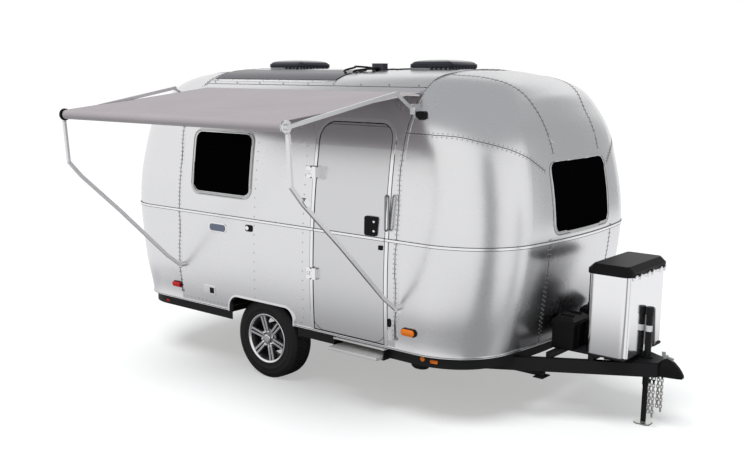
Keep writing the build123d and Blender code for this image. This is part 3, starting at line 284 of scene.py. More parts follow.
BRIGHT = ((0.86, 0.86, 0.87), 0.22, 1.0)
BELT_SHADE_LINES, SILL_SHADE_LINE = ((0.05, 0.05, 0.055), 0.5, 0.5), ((0.06, 0.06, 0.065), 0.5, 0.5)
BLACK_PAINT, ZINC_PLATE = ((0.010, 0.010, 0.011), 0.38, 0.0), ((0.66, 0.66, 0.64), 0.35, 1.0)
WHITE_BAND, STEP_METAL = ((0.85, 0.85, 0.85), 0.5, 0.0), ((0.74, 0.74, 0.74), 0.5, 0.3)
# Painted shade: the belt's dark bands at its upper and lower edges stand in for the shadow lines there
wear(banded("belt_metal_painted_shade", 0.9187, 0.9353, BELT_SHADE_LINES, BRIGHT), "belt_trim", "door_trim")
# Painted shade: the sill's dark band under its lip stands in for the shade there
wear(banded("sill_trim_painted_shade", 0.1165, 0.1205, BRIGHT, SILL_SHADE_LINE), "lower_trim")
wear(banded("jack_paint", 0.272, 0.317, BLACK_PAINT, WHITE_BAND), "jack_tube")
wear(banded("leg_paint", -0.5, -0.423, BLACK_PAINT, ZINC_PLATE), "jack_leg")
wear(banded("step_paint", 0.0928, 0.2, BLACK_PAINT, STEP_METAL), "step_frame")
wear(banded("chain_plate", -0.088, 0.1, ZINC_PLATE, BLACK_PAINT), "safety_chain_right", "safety_chain_left")
wear(finish("step_metal", STEP_METAL[0], STEP_METAL[1], metal=STEP_METAL[2]), "step_tread")
chassis_black = finish("chassis_black", (0.010, 0.010, 0.011), 0.5, bump=0.0003, bump_scale=120)
wear(chassis_black, "skirt", "main_rails", "tongue_rails", "cross_members", "axle", "tongue_plate",
     "gas_tray", "wheel_boxes", "stabiliser_front_right", "stabiliser_front_left",
     "stabiliser_rear_right", "stabiliser_rear_left")


# Seams and rivets. The skin is 1 mm aluminium sheet lapped and riveted at each panel's edge, so
# each seam is a thin lapped strip with rivet heads beside it, laid on the shell by nearest point.
def skin_tree(*cad_nodes):
    """Search tree over the outside of the named CAD nodes."""
    points, faces = [], []
    for node in cad_nodes:
        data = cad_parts[node].data
        start = len(points)
        points += [vertex.co for vertex in data.vertices]
        faces += [[start + i for i in face.vertices] for face in data.polygons]
    return BVHTree.FromPolygons(points, faces)


CARAVAN_SKIN = skin_tree("front_cap", "rear_cap", "wall_right", "wall_left", "roof")
SHELL = skin_tree("front_cap", "rear_cap", "wall_right", "wall_left", "roof", "door_panel")
BODY_CENTRE = np.array([-2.8, 0, 0.85])
MIRROR_X = -2.8005


def spaced(points, step):
    """Points every step metres along a broken line, both ends kept."""
    line = np.asarray(points, float)
    lengths = np.linalg.norm(np.diff(line, axis=0), axis=1)
    run = np.concatenate([[0], np.cumsum(lengths)])
    count = max(int(round(run[-1] / step)), 1)
    at = np.linspace(0, run[-1], count + 1)
    return np.stack([np.interp(at, run, line[:, axis]) for axis in range(3)], axis=1)


def laid(points, tree=SHELL, reach=0.12):
    """The points at their nearest places on the shell, with the outward normals; stray ones are dropped."""
    places, normals = [], []
    for point in points:
        hit, normal, _, distance = tree.find_nearest(Vector(point))
        if hit is None or distance > reach:
            continue
        out = np.array(normal)
        if out @ (np.array(hit) - BODY_CENTRE) < 0:
            out = -out
        places.append(np.array(hit))
        normals.append(out)
    return np.array(places), np.array(normals)


def mesh_piece(name, points, faces, material, body="caravan", smooth=True, slot=None):
    """Object at the origin from whole arrays of points and faces, riding on a CAD body."""
    mesh = bpy.data.meshes.new(name)
    mesh.from_pydata(np.asarray(points).reshape(-1, 3).tolist(), [], [list(map(int, face)) for face in faces])
    mesh.materials.append(material)
    mesh.polygons.foreach_set("use_smooth", np.full(len(mesh.polygons), smooth))
    piece = placed(name, mesh)
    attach(piece, body)
    return piece


def grid_faces(rows, columns, close_rows=False, close_columns=False):
    """Quads of a rows by columns grid of points, closed round either way."""
    r = np.arange(rows if close_rows else rows - 1)
    c = np.arange(columns if close_columns else columns - 1)
    i, j = (a.ravel() for a in np.meshgrid(r, c, indexing="ij"))
    i2, j2 = (i + 1) % rows, (j + 1) % columns
    return np.stack([i * columns + j, i * columns + j2, i2 * columns + j2, i2 * columns + j], axis=1)


def capped(rows, columns):
    """Faces of rows of rings, each ring closed round, with a flat face over the first ring and the last."""
    last = (rows - 1) * columns
    ends = [tuple(range(columns - 1, -1, -1)), tuple(range(last, last + columns))]
    return [tuple(face) for face in grid_faces(rows, columns, close_columns=True)] + ends


def sideways(normals):
    """Two unit vectors across each normal."""
    guide = np.where(np.abs(normals[:, 2:3]) < 0.9, [[0.0, 0.0, 1.0]], [[1.0, 0.0, 0.0]])
    u = np.cross(guide, normals)
    u /= np.linalg.norm(u, axis=1, keepdims=True)
    return u, np.cross(normals, u)


def rivets(name, places, normals, material, radius, height):
    """Domed rivet heads: each is a foot ring just under the skin, a shoulder ring and a crown point."""
    sides, sunk = 7, 0.001
    u, v = sideways(normals)
    angle = np.linspace(0, 2 * np.pi, sides, endpoint=False)
    ring = np.cos(angle)[None, :, None] * u[:, None] + np.sin(angle)[None, :, None] * v[:, None]
    foot = places[:, None] + ring * radius - sunk * normals[:, None]
    shoulder = places[:, None] + ring * radius * 0.72 + height * 0.75 * normals[:, None]
    crown = (places + height * normals)[:, None]
    under = (places - sunk * normals)[:, None]
    points = np.concatenate([foot, shoulder, crown, under], axis=1)
    each = points.shape[1]
    head = []
    for i in range(sides):
        j = (i + 1) % sides
        head += [(i, j, sides + j, sides + i), (sides + i, sides + j, 2 * sides), (j, i, 2 * sides + 1)]
    faces = [tuple(start + k for k in face) for start in range(0, len(places) * each, each) for face in head]
    return mesh_piece(name, points, faces, material)


def ribbon(path, normals, width, thick):
    """Flat strip along a path on the shell: a closed four-sided section carried along it."""
    sunk, face_share = 0.0006, 0.42
    along = np.gradient(path, axis=0)
    along /= np.linalg.norm(along, axis=1, keepdims=True)
    side = np.cross(normals, along)
    side /= np.linalg.norm(side, axis=1, keepdims=True)
    section = ((-0.5, -sunk), (-face_share, thick), (face_share, thick), (0.5, -sunk))
    grid = np.stack([path + s * width * side + h * normals for s, h in section], axis=1)
    return grid.reshape(-1, 3), [face[::-1] for face in capped(len(path), 4)]


def joined(parts):
    """One set of points and faces from several."""
    points, faces, start = [], [], 0
    for part_points, part_faces in parts:
        points.append(np.asarray(part_points).reshape(-1, 3))
        faces += [tuple(int(i) + start for i in face) for face in part_faces]
        start += len(points[-1])
    return np.concatenate(points), faces


def assembled(name, parts, material, body="caravan", smooth=False, slot=None):
    """One piece made up of several parts."""
    return mesh_piece(name, *joined(parts), material, body, smooth, slot)


def ribbons(name, paths, width, thick, material, tree=SHELL):
    """One piece of several strips laid on the shell."""
    strips = [ribbon(*laid(path, tree), width, thick) for path in paths]
    return assembled(name, strips, material, smooth=True)


def ring_at(x):
    """Points round the outside of the body at one X, from the right-hand foot over the roof."""
    reach, foot = 1.75, 0.16
    angle = np.linspace(-2.06, 2.06, 150)
    height = BODY_CENTRE[2] + reach * np.cos(angle)
    spread = np.stack([np.full_like(angle, x), reach * np.sin(angle), height], axis=1)
    places, _ = laid(spread, reach=1.0)
    return places[places[:, 2] > foot]


def mirrored(paths):
    """The paths and their mirror images on the left-hand side."""
    return [np.asarray(p, float) for p in paths] + [np.asarray(p, float) * (1, -1, 1) for p in paths]


def rearward(paths):
    """The same paths at the other end of the body, where the shell is found again by nearest point."""
    return [np.asarray(p, float) * (-1, 1, 1) + (2 * MIRROR_X, 0, 0) for p in paths]


# Upright seams of the strip down the middle of each end, then the level seam round each cap
STRIP_EDGE = [(-0.885, -0.376, 0.127), (-0.837, -0.439, 0.327), (-0.793, -0.483, 0.57),
              (-0.765, -0.496, 0.80), (-0.745, -0.505, 0.95)]
STRIP_TOP = [(-0.84, -0.367, 1.56), (-0.871, -0.372, 1.657), (-0.967, -0.378, 1.849),
             (-1.026, -0.405, 1.935), (-1.138, -0.459, 2.038), (-1.262, -0.494, 2.084),
             (-1.392, -0.523, 2.108), (-1.496, -0.57, 2.113), (-1.60, -0.59, 2.12)]
CAP_SEAM = [(-1.60, -1.126, 1.707), (-1.357, -1.116, 1.701), (-1.186, -1.054, 1.692),
            (-1.088, -0.996, 1.666), (-1.001, -0.914, 1.639), (-0.923, -0.804, 1.601),
            (-0.865, -0.659, 1.538), (-0.823, -0.505, 1.443)]
SEAM_STEP, RIVET_PITCH, WALL_PITCH, SILL_PITCH = 0.03, 0.036, 0.075, 0.05
end_seams = mirrored([STRIP_EDGE, STRIP_TOP, CAP_SEAM])
end_seams += rearward(end_seams)
end_seams = [spaced(path, SEAM_STEP) for path in end_seams]
rings = [ring_at(-1.606), ring_at(-3.994)]
seam_dark = finish("seam_dark", (0.10, 0.10, 0.105), 0.5, metal=0.7)
ribbons("seam_gaps", [spaced(path, SEAM_STEP) for path in end_seams + rings], 0.006, 0.0012, seam_dark)
ribbons("seam_laps", [spaced(path + (0.017, 0, 0), SEAM_STEP) for path in rings], 0.026, 0.0009, skin_metal)

rivet_rows = []
for path in end_seams:
    places, normals = laid(path)
    side = np.cross(normals, np.gradient(places, axis=0))
    side /= np.linalg.norm(side, axis=1, keepdims=True)
    rivet_rows += [spaced(places + offset * side, RIVET_PITCH) for offset in (0.014, -0.014)]
for ring in rings:
    rivet_rows += [spaced(ring + (offset, 0, 0), RIVET_PITCH) for offset in (0.013, -0.013)]
for x in (-3.06, -2.52):
    rivet_rows += mirrored([spaced([(x, -1.22, 0.20), (x, -1.2, 1.80)], WALL_PITCH)])
for start, end, z in ((-1.63, -3.97, 1.79), (-2.55, -2.62, 0.155), (-3.42, -3.97, 0.155)):
    rivet_rows += mirrored([spaced([(start, -1.2, z), (end, -1.2, z)], SILL_PITCH)])
rivet_metal = finish("rivet_metal", (0.42, 0.42, 0.43), 0.35, metal=1.0)
rivets("rivet_rows", *laid(np.concatenate(rivet_rows), CARAVAN_SKIN, reach=0.06), rivet_metal, 0.0058, 0.0032)


# Tyres. Rubber road tyres 215 mm wide on 15 inch wheels: bulged sidewalls with moulded ridges
# and a tread of five ribs cut by grooves and sipes.
def smooth_step(x, low, high):
    """0 below low, 1 above high, and a smooth cubic between them."""
    t = np.clip((np.asarray(x, float) - low) / (high - low), 0, 1)
    return t * t * (3 - 2 * t)


WHEEL_X, WHEEL_Z, WHEEL_Y = -3.03, -0.092, 1.01
SIDEWALL = [(0.1985, 0.0925), (0.207, 0.0955), (0.2155, 0.0965), (0.2185, 0.1005), (0.2225, 0.1012),
            (0.2265, 0.1000), (0.240, 0.1040), (0.256, 0.1062), (0.2575, 0.1072), (0.2605, 0.1072),
            (0.262, 0.1064), (0.280, 0.1070), (0.297, 0.1050), (0.299, 0.1056), (0.303, 0.1050),
            (0.305, 0.1035), (0.318, 0.0985), (0.328, 0.0930), (0.336, 0.0865), (0.341, 0.0800)]
TREAD_RADIUS, TREAD_HALF, TREAD_DROP, GROOVE_DEEP, PITCHES = 0.3448, 0.0785, 0.0032, 0.0065, 50
GROOVES = ((-0.052, 0.0042), (-0.0185, 0.0045), (0.0185, 0.0045), (0.052, 0.0042))


def tyre(turns=300, columns=64):
    """Tread radius = crown less groove depth: four round grooves, slanted sipes and shoulder slots."""
    across = np.linspace(TREAD_HALF, -TREAD_HALF, columns)
    side = np.array(SIDEWALL)
    outline = np.concatenate([side, np.stack([np.zeros(columns), across], axis=1), side[::-1] * (1, -1)])
    crown = TREAD_RADIUS - TREAD_DROP * (np.abs(across) / TREAD_HALF) ** 3
    angle = np.linspace(0, 2 * np.pi, turns, endpoint=False)[:, None]
    y = across[None, :]
    groove = np.zeros((turns, columns))
    for middle, half in GROOVES:
        wave = middle + 0.0016 * np.sign(np.sin(angle * PITCHES))
        groove = np.maximum(groove, 1 - smooth_step(np.abs(y - wave), half * 0.7, half * 1.1))
    pitch = angle * PITCHES / (2 * np.pi)
    sipe = 1 - smooth_step(np.abs((pitch + 14 * y) % 1 - 0.5), 0.09, 0.16)
    groove = np.maximum(groove, 0.7 * sipe * (np.abs(y) < 0.05))
    slot = 1 - smooth_step(np.abs(pitch % 1 - 0.5), 0.13, 0.2)
    groove = np.maximum(groove, 0.9 * slot * (np.abs(y) > 0.058))
    radius = np.broadcast_to(outline[None, :, 0], (turns, len(outline))).copy()
    radius[:, len(side):len(side) + columns] = crown[None, :] - GROOVE_DEEP * groove
    width = np.broadcast_to(outline[None, :, 1], radius.shape)
    grid = np.stack([radius * np.cos(angle), width, radius * np.sin(angle)], axis=2)
    return grid.reshape(-1, 3), grid_faces(turns, len(outline), close_rows=True, close_columns=True)


def at_wheel(points, sign):
    """Points of a wheel drawn about its own centre, outer face to +Y, moved to one side of the axle."""
    points = np.asarray(points).reshape(-1, 3)
    if sign < 0:
        points = points * (-1, -1, 1)
    return points + (WHEEL_X, sign * WHEEL_Y, WHEEL_Z)


tyre_rubber = finish("tyre_rubber", (0.017, 0.017, 0.018), 0.55, grain=0.08, grain_scale=60,
                     bump=0.0003, bump_scale=300)
tyre_points, tyre_faces = tyre()
for sign, side in ((-1, "right"), (1, "left")):
    piece = mesh_piece("tread_" + side, at_wheel(tyre_points, sign), tyre_faces, tyre_rubber,
                       "wheel_" + side, slot="tyre")
    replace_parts(piece, "tyre_" + side)


# Wheels. Cast alloy, six pairs of straight bars with machined faces over grey-painted flanks,
# a machined lip, a dark barrel behind, six lug nuts and a plain cap.
def lathe(profile, turns):
    """Surface of revolution about the wheel's axis (Y) of a loop of (radius, distance out)."""
    loop = np.asarray(profile, float)
    angle = np.linspace(0, 2 * np.pi, turns, endpoint=False)
    grid = np.stack([
        loop[None, :, 0] * np.cos(angle)[:, None],
        np.broadcast_to(loop[None, :, 1], (turns, len(loop))),
        loop[None, :, 0] * np.sin(angle)[:, None]], axis=2)
    return grid.reshape(-1, 3), grid_faces(turns, len(loop), close_rows=True, close_columns=True)


def bar_between(stations, foot_width, face_width):
    """Tapered bar along +X: at each station (x, offset across, back, front) a six-sided section."""
    rows = []
    for x, across, back, front in stations:
        shoulder = front - 0.004
        rows.append([(x, back, across - foot_width / 2), (x, shoulder, across - foot_width / 2),
                     (x, front, across - face_width / 2), (x, front, across + face_width / 2),
                     (x, shoulder, across + foot_width / 2), (x, back, across + foot_width / 2)])
    return np.array(rows).reshape(-1, 3), capped(len(rows), 6)


def turned(points, angle):
    """Points turned about the wheel's axis (Y)."""
    c, s = math.cos(angle), math.sin(angle)
    return np.asarray(points) @ np.array([[c, 0, s], [0, 1, 0], [-s, 0, c]])


machined = finish("machined", (0.80, 0.80, 0.81), 0.22, metal=1.0)
wheel_grey = finish("wheel_grey", (0.23, 0.23, 0.24), 0.35, metal=0.8)
wheel_dark = finish("wheel_dark", (0.035, 0.035, 0.038), 0.5, metal=0.3)
lip = lathe([(0.2120, 0.1032), (0.2135, 0.0990), (0.2120, 0.0965), (0.1990, 0.0925), (0.1960, 0.0860),
             (0.1900, 0.0800), (0.1895, 0.0890), (0.1935, 0.0965), (0.2010, 0.1010), (0.2075, 0.1034)], 120)
barrel = lathe([(0.1960, 0.0855), (0.1960, -0.0925), (0.2115, -0.0960), (0.2115, -0.1030), (0.1880, -0.1030),
                (0.1780, -0.0500), (0.1780, 0.0500), (0.1880, 0.0800)], 96)
brake_drum = lathe([(0.0, 0.030), (0.118, 0.030), (0.124, 0.024), (0.124, -0.060), (0.0, -0.060)], 60)
hub = lathe([(0.0, 0.045), (0.082, 0.045), (0.086, 0.060), (0.080, 0.0760), (0.060, 0.0810), (0.040, 0.0840),
             (0.0, 0.0840)], 60)
cap = lathe([(0.0, 0.080), (0.036, 0.080), (0.036, 0.096), (0.033, 0.1000), (0.024, 0.1010),
             (0.0, 0.1010)], 48)
nut = lathe([(0.0, 0.074), (0.0125, 0.074), (0.0115, 0.094), (0.0075, 0.099), (0.0, 0.100)], 6)
BAR_STATIONS = ((0.040, 0.8, 0.045, 0.0800), (0.075, 0.9, 0.048, 0.0850), (0.120, 1.0, 0.056, 0.0880),
                (0.165, 1.08, 0.064, 0.0915), (0.1935, 1.12, 0.068, 0.0945))
BAR_OFF, BAR_FOOT, BAR_FACE, BAR_START, NUT_START, NUT_CIRCLE = 0.0155, 0.0225, 0.0165, 14, 44, 0.060
bars, nuts = [], []
for sixth in range(6):
    for across in (-BAR_OFF, BAR_OFF):
        stations = [(x, across * spread, back, front) for x, spread, back, front in BAR_STATIONS]
        bar_points, bar_faces = bar_between(stations, BAR_FOOT, BAR_FACE)
        bars.append((turned(bar_points, math.radians(60 * sixth + BAR_START)), bar_faces))
    place = turned(np.array([[NUT_CIRCLE, 0, 0]]), math.radians(60 * sixth + NUT_START))[0]
    nuts.append((nut[0] + place, nut[1]))
BAR_QUADS, BAR_ALL = 24, 26
for sign, side in ((-1, "right"), (1, "left")):
    for name, parts, material, smooth in (
        ("barrel_", [barrel, brake_drum], wheel_dark, True), ("lip_", [lip], machined, True),
        ("bars_", bars, wheel_grey, False), ("hub_", [hub], wheel_grey, True),
        ("nuts_", [cap] + nuts, machined, False),
    ):
        points, faces = joined(parts)
        piece = mesh_piece(name + side, at_wheel(points, sign), faces, material, "wheel_" + side, smooth,
                           "alloy")
        if name == "barrel_":
            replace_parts(piece, "rim_" + side)
        if name == "bars_":
            piece.data.materials.append(machined)
            order = np.arange(len(faces)) % BAR_ALL
            on_face = (order < BAR_QUADS) & (order % 6 == 2)
            piece.data.polygons.foreach_set("material_index", on_face.astype(np.int32))


# Awning frame. Square aluminium tubes from the roller's ends up to an elbow, a strut from each elbow
# down to its pad on the wall, and the extruded rail on the shell that holds the cloth's inner edge.
def bar_of(start, end, wide, deep):
    """Square-cut bar between two points: four corners about each end, wide along X."""
    a, b = np.asarray(start, float), np.asarray(end, float)
    along = (b - a) / np.linalg.norm(b - a)
    guide = np.array([1.0, 0, 0]) if abs(along[0]) < 0.9 else np.array([0, 0, 1.0])
    side = np.cross(along, guide)
    side /= np.linalg.norm(side)
    guide = np.cross(side, along)
    section = ((-0.5, -0.5), (0.5, -0.5), (0.5, 0.5), (-0.5, 0.5))
    points = [end_point + s * wide * guide + t * deep * side for end_point in (a, b) for s, t in section]
    return np.array(points), capped(2, 4)


def drum_of(start, end, radius, sides=28):
    """Round bar or disc between two points."""
    a, b = np.asarray(start, float), np.asarray(end, float)
    along = (b - a) / np.linalg.norm(b - a)
    u, v = (axis[0] for axis in sideways(along[None]))
    angle = np.linspace(0, 2 * np.pi, sides, endpoint=False)[:, None]
    ring = radius * (np.cos(angle) * u + np.sin(angle) * v)
    return np.concatenate([a + ring, b + ring]), capped(2, sides)


def pin(x_from, x_to, at, radius):
    """Round pin or ring along X at one (Y, Z)."""
    return drum_of((x_from, *at), (x_to, *at), radius)


AWNING_REAR, AWNING_FRONT, ROLLER_AT = -3.95, -1.58, (-2.402, 1.800)
awning_bits = []
for x, inward in ((AWNING_REAR, 1), (AWNING_FRONT, -1)):
    rafter = bar_of((x, -2.396, 1.801), (x, -1.285, 1.991), 0.020, 0.026)
    strut = bar_of((x, -1.290, 1.990), (x, -1.098, 1.878), 0.014, 0.020)
    elbow_pin = pin(x - 0.012, x + 0.012, (-1.285, 1.989), 0.017)
    wall_pin = pin(x - 0.011, x + 0.011, (-1.100, 1.880), 0.014)
    roller_end = pin(x - 0.014 * inward, x + 0.034 * inward, ROLLER_AT, 0.020)
    wall_pad = bar_of((x, -1.092, 1.876), (x, -1.020, 1.876), 0.044, 0.076)
    foot_pin = drum_of((x, -1.262, 0.444), (x, -1.196, 0.444), 0.024)
    foot_pad = bar_of((x, -1.222, 0.444), (x, -1.190, 0.444), 0.056, 0.078)
    awning_bits += [rafter, strut, elbow_pin, wall_pin, roller_end, wall_pad, foot_pin, foot_pad]
rail_line, rail_out = laid(spaced([(-3.975, -0.95, 2.003), (-1.625, -0.95, 2.003)], 0.1))
wall_rail = ribbon(rail_line, rail_out, 0.050, 0.014)
piece = assembled("awning_frame", awning_bits + [wall_rail], awning_metal, slot="awning_metal")
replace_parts(piece, "awning_rafters", "awning_brackets")
rings = [pin(x, x + 0.006, ROLLER_AT, 0.044) for x in (-1.604, -1.592)]
clamp = bar_of((AWNING_FRONT, -2.26, 1.335), (AWNING_FRONT, -2.22, 1.295), 0.036, 0.036)
assembled("awning_rings", rings + [clamp], bright_trim, slot="awning_metal")
assembled("awning_end_ring", [pin(-3.942, -3.926, ROLLER_AT, 0.046)], moulded_black, slot="black_plastic")


# Plates and lamps on the skin. Each is laid on the shell by nearest point; the lenses are moulded
# plastic domes in black bases, the plates pressed metal and left blank.
def rounded(width, height, corner, count=8):
    """Outline of a rounded rectangle about 0, 0, anticlockwise."""
    corner = min(corner, width / 2 - 0.0001, height / 2 - 0.0001)
    angle = np.linspace(0, np.pi / 2, count)
    arcs = []
    for turn, (cx, cy) in enumerate(((1, 1), (-1, 1), (-1, -1), (1, -1))):
        a = angle + turn * np.pi / 2
        arcs.append(np.stack([cx * (width / 2 - corner) + corner * np.cos(a),
                              cy * (height / 2 - corner) + corner * np.sin(a)], axis=1))
    return np.concatenate(arcs)


def plate_on(centre, width, height, corner, thick, crown=0.0, tree=SHELL, front=False, edge=0.002):
    """Rounded plate laid on the shell: foot sunk 3 mm, edge, bevelled face and a domed middle."""
    side = 1 if centre[1] > 0 else -1
    across = np.array([0, 1.0, 0]) if front else np.array([-side * 1.0, 0, 0])
    up = np.array([0, 0, 1.0])
    rings, span = [], min(width, height)
    for inset, lift in ((0, -0.003), (0, thick - edge), (edge, thick), (0.3 * span, thick + 0.8 * crown),
                        (0.499 * span, thick + crown)):
        outline = rounded(width - 2 * inset, height - 2 * inset, max(corner - inset, 0.0006))
        places, normals = laid(np.asarray(centre) + outline[:, :1] * across + outline[:, 1:] * up, tree)
        rings.append(places + lift * normals)
    return np.concatenate(rings), capped(len(rings), len(rings[0]))


def both_sides(centre, *size):
    """The same plate on the right-hand side and on the left."""
    return [plate_on((centre[0], side * centre[1], centre[2]), *size) for side in (-1, 1)]


SKIRT, HANDLE, DOOR = skin_tree("skirt"), skin_tree("door_handle"), skin_tree("door_panel")
lamp_amber = finish("lamp_amber", (0.90, 0.22, 0.02), 0.2)
lenses = both_sides((-1.489, 1.21, 0.269), 0.116, 0.050, 0.025, 0.024, 0.006)
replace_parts(assembled("marker_lenses", lenses, lamp_amber, slot="amber"), "marker_lamps")
lenses = both_sides((-1.390, 1.16, 0.079), 0.036, 0.036, 0.018, 0.014, 0.006, SKIRT)
lenses += both_sides((-1.300, 1.15, 0.071), 0.062, 0.026, 0.010, 0.014, 0.004, SKIRT)
assembled("skirt_lenses", lenses, lamp_amber, slot="amber")
lamp_red = finish("lamp_red", (0.70, 0.015, 0.02), 0.2)
lenses = both_sides((-4.046, 1.20, 0.246), 0.118, 0.044, 0.022, 0.022, 0.005)
lenses += both_sides((-4.232, 1.14, 0.057), 0.042, 0.022, 0.009, 0.012, 0.003, SKIRT)
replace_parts(assembled("tail_lenses", lenses, lamp_red, slot="red_lens"), "tail_lamps")
bases = both_sides((-1.484, 1.21, 0.269), 0.136, 0.060, 0.030, 0.012)
bases += both_sides((-4.041, 1.20, 0.246), 0.138, 0.054, 0.027, 0.010)
lock_base = plate_on((-3.118, -1.22, 0.857), 0.086, 0.056, 0.018, 0.006)
door_stop = plate_on((-1.662, -1.2, 0.312), 0.036, 0.066, 0.018, 0.006)
hatch_latch = plate_on((-3.585, -1.2, 0.258), 0.052, 0.050, 0.006, 0.009)
assembled("lamp_bases", bases + [lock_base, door_stop, hatch_latch], moulded_black, slot="black_plastic")
badge_rim = plate_on((-3.497, -1.22, 0.821), 0.220, 0.080, 0.036, 0.004)
lock_face = plate_on((-3.136, -1.22, 0.857), 0.040, 0.040, 0.020, 0.010, 0.003)
hatch = plate_on((-3.619, -1.2, 0.258), 0.150, 0.082, 0.008, 0.006)
assembled("bright_plates", [badge_rim, lock_face, hatch], bright_trim, slot="trim")
plate_blue = finish("plate_blue", (0.17, 0.20, 0.27), 0.35, metal=0.5)
badge = plate_on((-3.497, -1.22, 0.821), 0.198, 0.060, 0.028, 0.0055)
assembled("side_plate", [badge], plate_blue, slot="trim")
label_white = finish("label_white", (0.80, 0.80, 0.80), 0.5)
label = plate_on((-1.658, -1.2, 0.215), 0.034, 0.076, 0.003, 0.003, edge=0.001)
assembled("side_label", [label], label_white, slot="white_plastic")
nose_metal = finish("nose_metal", (0.80, 0.80, 0.80), 0.34, metal=1.0)
nose = plate_on((-0.87, 0.0, 1.60), 0.76, 0.15, 0.006, 0.0016, front=True, edge=0.0005)
assembled("nose_plate", [nose], nose_metal, slot="trim")
buttons = [plate_on((-1.808, -1.23, z), 0.020, 0.020, 0.010, 0.004, 0.002, HANDLE) for z in (1.052, 0.982)]
assembled("handle_buttons", buttons, bright_trim, body="door", slot="trim")
catch = plate_on((-1.748, -1.22, 0.865), 0.036, 0.034, 0.006, 0.010, tree=DOOR)
assembled("door_catch", [catch], moulded_black, body="door", slot="black_plastic")
HINGE_X, HINGE_Y, LEAF_Y = -2.41, -1.246, -1.2335
hinge_caps = []
for foot in (0.582 - 0.0455, 0.582 + 0.0375, 1.376 - 0.0455, 1.376 + 0.0375):
    hinge_caps.append(drum_of((HINGE_X, HINGE_Y, foot), (HINGE_X, HINGE_Y, foot + 0.008), 0.0092, 20))
    hinge_caps.append(bar_of((-2.402, LEAF_Y, foot + 0.004), (-2.360, LEAF_Y, foot + 0.004), 0.008, 0.008))
assembled("hinge_caps", hinge_caps, moulded_black, body="door", slot="black_plastic")


# Edge lines. Dark strips of painted shade in the gap round the door frame, and the thin bright bead and the
# gap between each pane and its frame, laid on them as strips.
def frame_path(x0, x1, z0, z1, corner, y):
    """Closed rounded rectangle on a side wall."""
    outline = rounded(x1 - x0, z1 - z0, corner, 10)
    outline = np.concatenate([outline, outline[:1]])
    across, height = (x0 + x1) / 2 + outline[:, 0], (z0 + z1) / 2 + outline[:, 1]
    return spaced(np.stack([across, np.full(len(outline), y), height], axis=1), 0.02)


door_path = frame_path(-2.441, -1.678, 0.128, 1.799, 0.161, -1.22)[:-4]
# Painted shade: a dark strip where the gap round the door falls in shade
ribbons("door_gap_painted_shade", [door_path], 0.005, 0.0012, seam_dark)
PANES = skin_tree("window_frames", "side_windows", "end_windows")
pane_paths = mirrored([frame_path(-3.811, -3.134, 1.115, 1.624, 0.066, -1.205)])
end_pane = frame_path(-0.430, 0.430, 0.993, 1.499, 0.066, 0.0)[:, [1, 0, 2]]
pane_paths += [end_pane + (x, 0, 0) for x in (-0.75, -4.855)]
ribbons("pane_beads", pane_paths, 0.007, 0.0016, bright_trim, PANES)
wider_paths = [path + (path - path.mean(axis=0)) * 0.075 for path in pane_paths]
ribbons("pane_gaps", wider_paths, 0.005, 0.0010, seam_dark, PANES)


# Roof fittings. Smoked moulded vent lids on pale bases, the solar laminate's clamping strip with its
# bolts, and the black leads that are clipped to the roof between laminate, junction box and front vent.
def stacked(centre, size, corner, levels):
    """Rounded block: at each level (inset, height) a rounded rectangle, closed at both ends."""
    rings = []
    for inset, z in levels:
        outline = rounded(size[0] - 2 * inset, size[1] - 2 * inset, max(corner - inset, 0.004), 8)
        rings.append(np.column_stack([outline + centre, np.full(len(outline), z)]))
    return np.concatenate(rings), capped(len(rings), len(rings[0]))


def tube(path, radius, guide, closed=False):
    """Round tube of twelve sides along a path that stays square to the guide."""
    sides, path = 12, np.asarray(path, float)
    along = np.roll(path, -1, 0) - np.roll(path, 1, 0) if closed else np.gradient(path, axis=0)
    along /= np.linalg.norm(along, axis=1, keepdims=True)
    u = np.cross(along, guide)
    u /= np.linalg.norm(u, axis=1, keepdims=True)
    v = np.cross(along, u)
    angle = np.linspace(0, 2 * np.pi, sides, endpoint=False)[None, :, None]
    grid = path[:, None] + radius * (np.cos(angle) * u[:, None] + np.sin(angle) * v[:, None])
    faces = grid_faces(len(path), sides, True, True) if closed else capped(len(path), sides)
    return grid.reshape(-1, 3), faces


wear(finish("vent_white", (0.72, 0.72, 0.72), 0.45), "roof_vents")
wear(finish("solar", (0.06, 0.06, 0.075), 0.3), "roof_panel")
smoked = finish("smoked", (0.02, 0.02, 0.03), 0.12)
dark_metal = finish("dark_metal", (0.28, 0.28, 0.29), 0.3, metal=1.0)
VENTS_X, VENT_SIDE, TOOTH_PITCH = (-3.663, -2.055), 0.424, 0.045
DOME_FOOT, DOME_RISE, DOME_RUN = 2.2055, 0.0345, 0.19
LID = [(0.004, 2.1715), (0.0, 2.1730), (0.0, 2.2035), (0.006, DOME_FOOT)]
for climb in np.linspace(0, math.pi / 2, 9):
    LID.append((0.012 + DOME_RUN * (1 - math.cos(climb)), DOME_FOOT + DOME_RISE * math.sin(climb)))
teeth = []
for x in VENTS_X:
    for k in range(5):
        across = x + 0.02 + TOOTH_PITCH * k
        teeth.append(bar_of((across, -0.209, 2.160), (across, -0.209, 2.175), 0.022, 0.012))
    for k in range(8):
        y = -0.17 + TOOTH_PITCH * k
        teeth.append(bar_of((x + 0.209, y, 2.160), (x + 0.209, y, 2.175), 0.012, 0.022))
lids = [stacked((x, 0.0), (VENT_SIDE, VENT_SIDE), 0.05, LID) for x in VENTS_X]
piece = assembled("vent_lids", lids + teeth, smoked, smooth=True, slot="smoke")
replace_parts(piece, "vent_domes")
ROOF = skin_tree("roof")
strip_line = spaced([(-3.95, -0.818, 2.06), (-2.54, -0.818, 2.06)], 0.1)
ribbons("panel_strip", [strip_line], 0.030, 0.005, bright_trim, ROOF)
